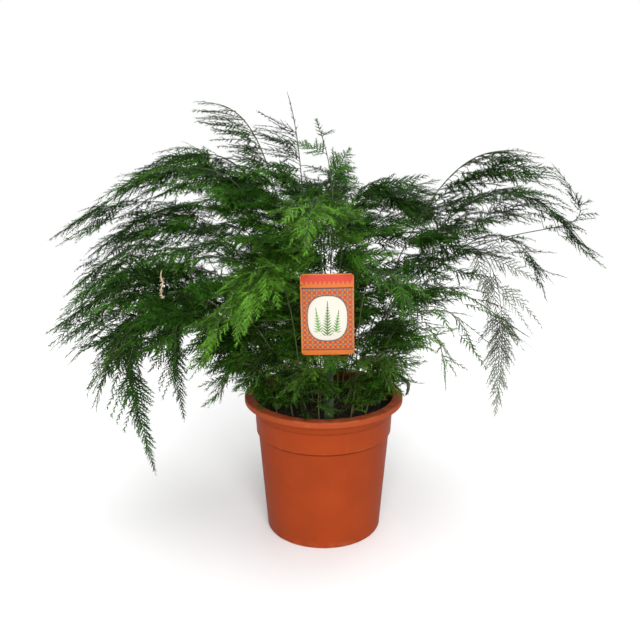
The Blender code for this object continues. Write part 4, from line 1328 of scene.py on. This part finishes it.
def label_finish(settings):
    """The card's print: a pale panel with plain sprigs, on a trellis of simple shapes."""
    finish = Finish("printed_card", Roughness=0.4, Specular_IOR_Level=0.5)
    x, z = finish.x, finish.z - (LABEL_CARD_UP + PRINT_UP)
    grain = finish.noise(600.0, 3.0)
    rise = finish.z.step(LABEL_CARD_UP, LABEL_CARD_UP + LABEL_TALL)
    colour = rise.mix(tuned(settings.ground, 1.08), tuned(settings.ground, 0.9))
    # A small trellis of diamonds, squares and thin crossing lines
    cell_x = abs(fraction(x / TRELLIS_CELL) - 0.5)
    cell_z = abs(fraction(z / TRELLIS_CELL) - 0.5)
    colour = abs(cell_x - cell_z).below(0.09).mix(colour, settings.dark)
    colour = (cell_x + cell_z).below(0.28).mix(colour, settings.red)
    colour = (cell_x + cell_z).below(0.12).mix(colour, settings.dark)
    colour = (0.78 - cell_x - cell_z).below(0.0).mix(colour, settings.teal)
    # Plain bands at the head and the foot, with a row of teeth and dark rules
    colour = (HEAD_BAND_Z - z).below(0.0).mix(colour, settings.ground)
    teeth = abs(fraction(x / TOOTH_WIDE) - 0.5)
    colour = (TEETH_Z - z + teeth * -TOOTH_TALL).below(0.0).mix(colour, settings.red)
    colour = (z - FOOT_BAND_Z).below(0.0).mix(colour, settings.ground)
    rules = abs(z - HEAD_BAND_Z).below(0.0007) + abs(z - FOOT_BAND_Z).below(0.0005)
    colour = rules.mix(colour, settings.dark)
    # The panel: a square with very round corners, in a dark and a pale line
    across = abs(x / PANEL_HALF_WIDE) ** PANEL_SQUARENESS
    square = across + abs((z - PANEL_Z) / PANEL_HALF_TALL) ** PANEL_SQUARENESS
    colour = square.below(1.18).mix(colour, settings.dark)
    colour = square.below(1.08).mix(colour, tuned(settings.panel, 0.8))
    colour = square.below(0.98).mix(colour, settings.panel)
    # Three plain sprigs with pairs of narrow leaves
    for foot, lean, long, wide, shade in LABEL_SPRIGS:
        leaves = sprig(x - foot[0], z - foot[1], lean, long, wide)
        colour = leaves.mix(colour, tuned(settings.leaf, shade))
    side = abs(x) - (LABEL_WIDE / 2 - PLAIN_EDGE)
    end = abs(z - (LABEL_TALL / 2 - PRINT_UP)) - (LABEL_TALL / 2 - PLAIN_EDGE)
    rim = side.larger(end)
    colour = (0 - rim).below(0.0).mix(colour, tuned(settings.ground, 1.15))
    card = (LABEL_CARD_UP - finish.z).below(0.0)
    bow = x * x * (LABEL_BOW * 4 / LABEL_WIDE**2)
    back = (bow - finish.y).below(0.0)
    colour = back.mix(colour, tuned(settings.panel, 1.05))
    colour = (grain * 0.16).mix(colour, tuned(settings.ground, 0.6))
    finish.feed("Base Color", card.mix(settings.stake, colour))
    finish.feed("Roughness", 0.32 + 0.16 * grain)
    finish.bump(grain, 0.08, 0.0002)
    return finish.material


def label_half_width(z):
    """Half the label's width at a height: a pointed stake and a card with rounded corners."""
    if z < LABEL_CARD_UP:
        return STAKE_WIDE / 2 * min(1, 0.1 + 0.9 * z / STAKE_POINT)
    edge = min(z - LABEL_CARD_UP, LABEL_CARD_UP + LABEL_TALL - z)
    inward = max(0.0, LABEL_CORNER - edge)
    return LABEL_WIDE / 2 - LABEL_CORNER + math.sqrt(LABEL_CORNER**2 - inward**2)


def label_heights():
    """Where the rows of the label's mesh are, closer together round its corners."""
    turns = [LABEL_CORNER * (1 - math.cos(math.radians(15 * k))) for k in range(7)]
    top = LABEL_CARD_UP + LABEL_TALL
    stake = [0, STAKE_POINT * 0.5, STAKE_POINT] + [LABEL_CARD_UP * k / 8 for k in range(1, 8)]
    card = [LABEL_CARD_UP + LABEL_TALL * k / 14 for k in range(1, 14)]
    corners = [LABEL_CARD_UP + d for d in turns] + [top - d for d in turns]
    return sorted(stake + [LABEL_CARD_UP - 0.0001] + card + corners)


def label_mesh():
    """The slightly bowed card and its stake, cut from one thin sheet."""
    bm = bmesh.new()
    rows = []
    for z in label_heights():
        half = label_half_width(z)
        xs = [half * (2 * k / LABEL_COLUMNS - 1) for k in range(LABEL_COLUMNS + 1)]
        bows = [LABEL_BOW * (2 * x / LABEL_WIDE) ** 2 - LABEL_THICK / 2 for x in xs]
        rows.append([bm.verts.new((x, bow, z)) for x, bow in zip(xs, bows)])
    for low, high in zip(rows, rows[1:]):
        for k in range(LABEL_COLUMNS):
            bm.faces.new((low[k], low[k + 1], high[k + 1], high[k]))
    made = bmesh.ops.extrude_face_region(bm, geom=list(bm.faces))
    for v in (item for item in made["geom"] if isinstance(item, bmesh.types.BMVert)):
        v.co.y += LABEL_THICK
    bmesh.ops.recalc_face_normals(bm, faces=bm.faces)
    mesh = bpy.data.meshes.new("fern_label")
    bm.to_mesh(mesh)
    bm.free()
    return mesh


class FERN_OT_label(bpy.types.Operator):
    """Make the printed plant label on its stake"""

    bl_idname = "fern.label"
    bl_label = "Plant label"

    def execute(self, context):
        mesh = label_mesh()
        mesh.materials.append(label_finish(context.scene.fern_label))
        label = linked("fern_label", mesh)
        label.matrix_world = label_place()
        edge = label.modifiers.new("edge", "BEVEL")
        edge.width = LABEL_EDGE
        edge.segments = 2
        edge.limit_method = "ANGLE"
        edge.angle_limit = math.radians(60)
        settle(label, "plant_label", "label")
        return {"FINISHED"}


class FERN_OT_foliage(bpy.types.Operator):
    """Grow every stem with its feathery sprays of needles"""

    bl_idname = "fern.foliage"
    bl_label = "Stems and sprays"

    def execute(self, context):
        size = context.scene.fern_foliage
        needles = {
            tint: needle_finish(tint + "_needles", getattr(size, tint))
            for tint in ("deep", "fresh", "grey")
        }
        wood = wood_finish("wiry_stalk", size)
        for stem in STEMS:
            materials = [needles[stem.habit.tint], wood]
            if stem.name == WITHERED_STEM:
                materials.append(straw_finish("withered_spray", size.withered))
            stem_piece(stem, size, materials)
        return {"FINISHED"}


def shoot_finish(settings):
    finish = Finish("young_shoot_skin", Roughness=0.5)
    bands = finish.noise(90.0, 3.0, finish.stretched((1.0, 1.0, 3.0))).step(0.35, 0.7)
    finish.feed("Base Color", bands.mix(tuned(settings.skin, 0.6), tuned(settings.skin, 1.7)))
    finish.feed("Roughness", 0.4 + 0.3 * bands)
    return finish.material


def scale_finish(settings):
    finish = Finish("papery_scale", Roughness=0.8)
    bands = finish.noise(400.0, 3.0).step(0.3, 0.7)
    finish.feed("Base Color", bands.mix(tuned(settings.scale, 0.6), tuned(settings.scale, 1.4)))
    return finish.material


def papery_scale(shells, rng, point, along, radius, turn):
    """A thin pointed scale on the shoot's skin, to the left or the right."""
    side = unit(np.cross(along, (0.0, 1.0, 0.0))) * turn
    face = side + np.array((0, rng.uniform(*SCALE_FACING), 0))
    out = unit(squared_to(along, unit(face)))
    start = point + out * radius * SCALE_ROOT
    end = start + (along * SCALE_AHEAD + out * SCALE_OUT) * rng.uniform(*SCALE_LONG)
    middle = (start + end) / 2 + out * SCALE_ARCH
    foot, belly = (np.cross(along, out) * half for half in SCALE_HALF)
    blade = np.array([start - foot, middle - belly, end, middle + belly, start + foot])
    verts = np.vstack([blade, blade - out * SCALE_THICK])
    faces = [(0, 1, 4), (1, 3, 4), (1, 2, 3), (9, 6, 5), (9, 8, 6), (8, 7, 6)]
    for k in range(5):
        j = (k + 1) % 5
        faces += [(k, k + 5, j + 5), (k, j + 5, j)]
    shells.add(verts[None], faces, 1)


class FERN_OT_shoot(bpy.types.Operator):
    """Grow the young shoot that nods over the rim"""

    bl_idname = "fern.shoot"
    bl_label = "Young shoot"

    def execute(self, context):
        settings = context.scene.fern_shoot
        foot = Vector((*SHOOT_FOOT, soil_height(*SHOOT_FOOT)))
        way = (Vector(SHOOT_LINE[0]) - foot).normalized()
        line = smooth_line([foot - way * STEM_HOLE_DEPTH, foot, *SHOOT_LINE], SHOOT_STEPS)
        radius = settings.thickness * np.interp(np.linspace(0, 1, len(line)), *SHOOT_SWELL)
        shells = Shells()
        tube(shells, line, radius, 10, 0)
        rng = seeded("shoot scales")
        for number, place in enumerate(range(FIRST_SCALE, len(line) - 2, SCALE_STEP)):
            along = unit(line[place + 1] - line[place])
            turn = 1 if number % 2 else -1
            papery_scale(shells, rng, line[place], along, radius[place], turn)
        shoot = shells.piece("fern_young_shoot", [shoot_finish(settings), scale_finish(settings)])
        settle(shoot, "young_shoot", "shoot")
        return {"FINISHED"}


def floor_finish(colour):
    """A pale floor that fades out far from the pot."""
    finish = Finish("pale_floor", Roughness=0.9, Specular_IOR_Level=0.1)
    finish.shader.inputs["Base Color"].default_value = colour_of(colour)
    settings = {"operation": "LENGTH"}
    reach = finish.start.node("ShaderNodeVectorMath", settings, {0: finish.place}, output=1)
    fade = reach.step(*FLOOR_FADE)
    clear = finish.start.node("ShaderNodeBsdfTransparent")
    solid = Wire(finish.tree, finish.shader.outputs[0])
    both = finish.start.node("ShaderNodeMixShader", (), {0: fade, 1: solid, 2: clear})
    finish.tree.links.new(both.socket, finish.tree.nodes["Material Output"].inputs["Surface"])
    return finish.material


def sun(name, strength, softness, azimuth, elevation):
    """A wide soft light from a direction given in degrees; azimuth 0 shines along +Y."""
    data = bpy.data.lights.new(name, "SUN")
    data.energy = strength
    data.angle = math.radians(softness)
    light = linked(name, data)
    light.rotation_euler = (math.radians(90 - elevation), 0, math.radians(azimuth))


class FERN_OT_stage(bpy.types.Operator):
    """Set the pale floor, the soft lights and the camera"""

    bl_idname = "fern.stage"
    bl_label = "Stage"

    def execute(self, context):
        settings = context.scene.fern_stage
        scene = context.scene
        bpy.ops.mesh.primitive_circle_add(vertices=96, radius=FLOOR_R, fill_type="NGON")
        floor = context.object
        floor.name = "stage_floor"
        floor.data.materials.append(floor_finish(settings.floor))
        world = bpy.data.worlds.new("studio")
        world.use_nodes = True
        scene.world = world
        wire = Wire(world.node_tree)
        around = {"Color": WHITE, "Strength": settings.ambient}
        lit = wire.node("ShaderNodeBackground", (), around)
        shown = wire.node("ShaderNodeBackground", (), {"Color": WHITE, "Strength": 1.0})
        seen = wire.node("ShaderNodeLightPath", output="Is Camera Ray")
        both = wire.node("ShaderNodeMixShader", (), {0: seen, 1: lit, 2: shown})
        world.node_tree.links.new(both.socket, world.node_tree.nodes["World Output"].inputs["Surface"])
        for name, *place in LIGHTS:
            sun(name, getattr(settings, name), *place)
        camera = linked("camera", bpy.data.cameras.new("camera"))
        camera.location = (settings.camera_aside, -settings.camera_far, settings.camera_high)
        camera.rotation_euler = (math.radians(90) - settings.camera_pitch, 0, 0)
        camera.data.lens = settings.lens
        camera.data.sensor_width = SENSOR_WIDE
        scene.camera = camera
        scene.view_settings.view_transform = "Standard"
        return {"FINISHED"}


class FERN_PT_panel(bpy.types.Panel):
    """The fern's settings and the operators that build it"""

    bl_idname = "FERN_PT_panel"
    bl_label = "Potted asparagus fern"
    bl_space_type = "VIEW_3D"
    bl_region_type = "UI"
    bl_category = "Fern"

    def draw(self, context):
        for group, _, operator in STEPS:
            box = self.layout.box()
            settings = getattr(context.scene, group)
            for name in settings.__annotations__:
                box.prop(settings, name)
            box.operator(operator.bl_idname)


# The steps of the build: the name of their settings on the scene, the class of these, the operator
STEPS = (
    ("fern_stage", StageSettings, FERN_OT_stage),
    ("fern_pot", PotSettings, FERN_OT_pot),
    ("fern_soil", SoilSettings, FERN_OT_soil),
    ("fern_label", LabelSettings, FERN_OT_label),
    ("fern_foliage", FoliageSettings, FERN_OT_foliage),
    ("fern_shoot", ShootSettings, FERN_OT_shoot),
)
CLASSES = (*(step[1] for step in STEPS), *(step[2] for step in STEPS), FERN_PT_panel)


def register():
    for kind in CLASSES:
        bpy.utils.register_class(kind)
    for name, group, _ in STEPS:
        setattr(bpy.types.Scene, name, bpy.props.PointerProperty(type=group))


def unregister():
    for name, _, _ in STEPS:
        delattr(bpy.types.Scene, name)
    for kind in reversed(CLASSES):
        bpy.utils.unregister_class(kind)


def main():
    register()
    bpy.ops.fern.stage()
    bpy.ops.fern.pot()
    bpy.ops.fern.soil()
    bpy.ops.fern.label()
    bpy.ops.fern.foliage()
    bpy.ops.fern.shoot()
    bpy.context.view_layer.update()


if __name__ == "__main__":
    main()
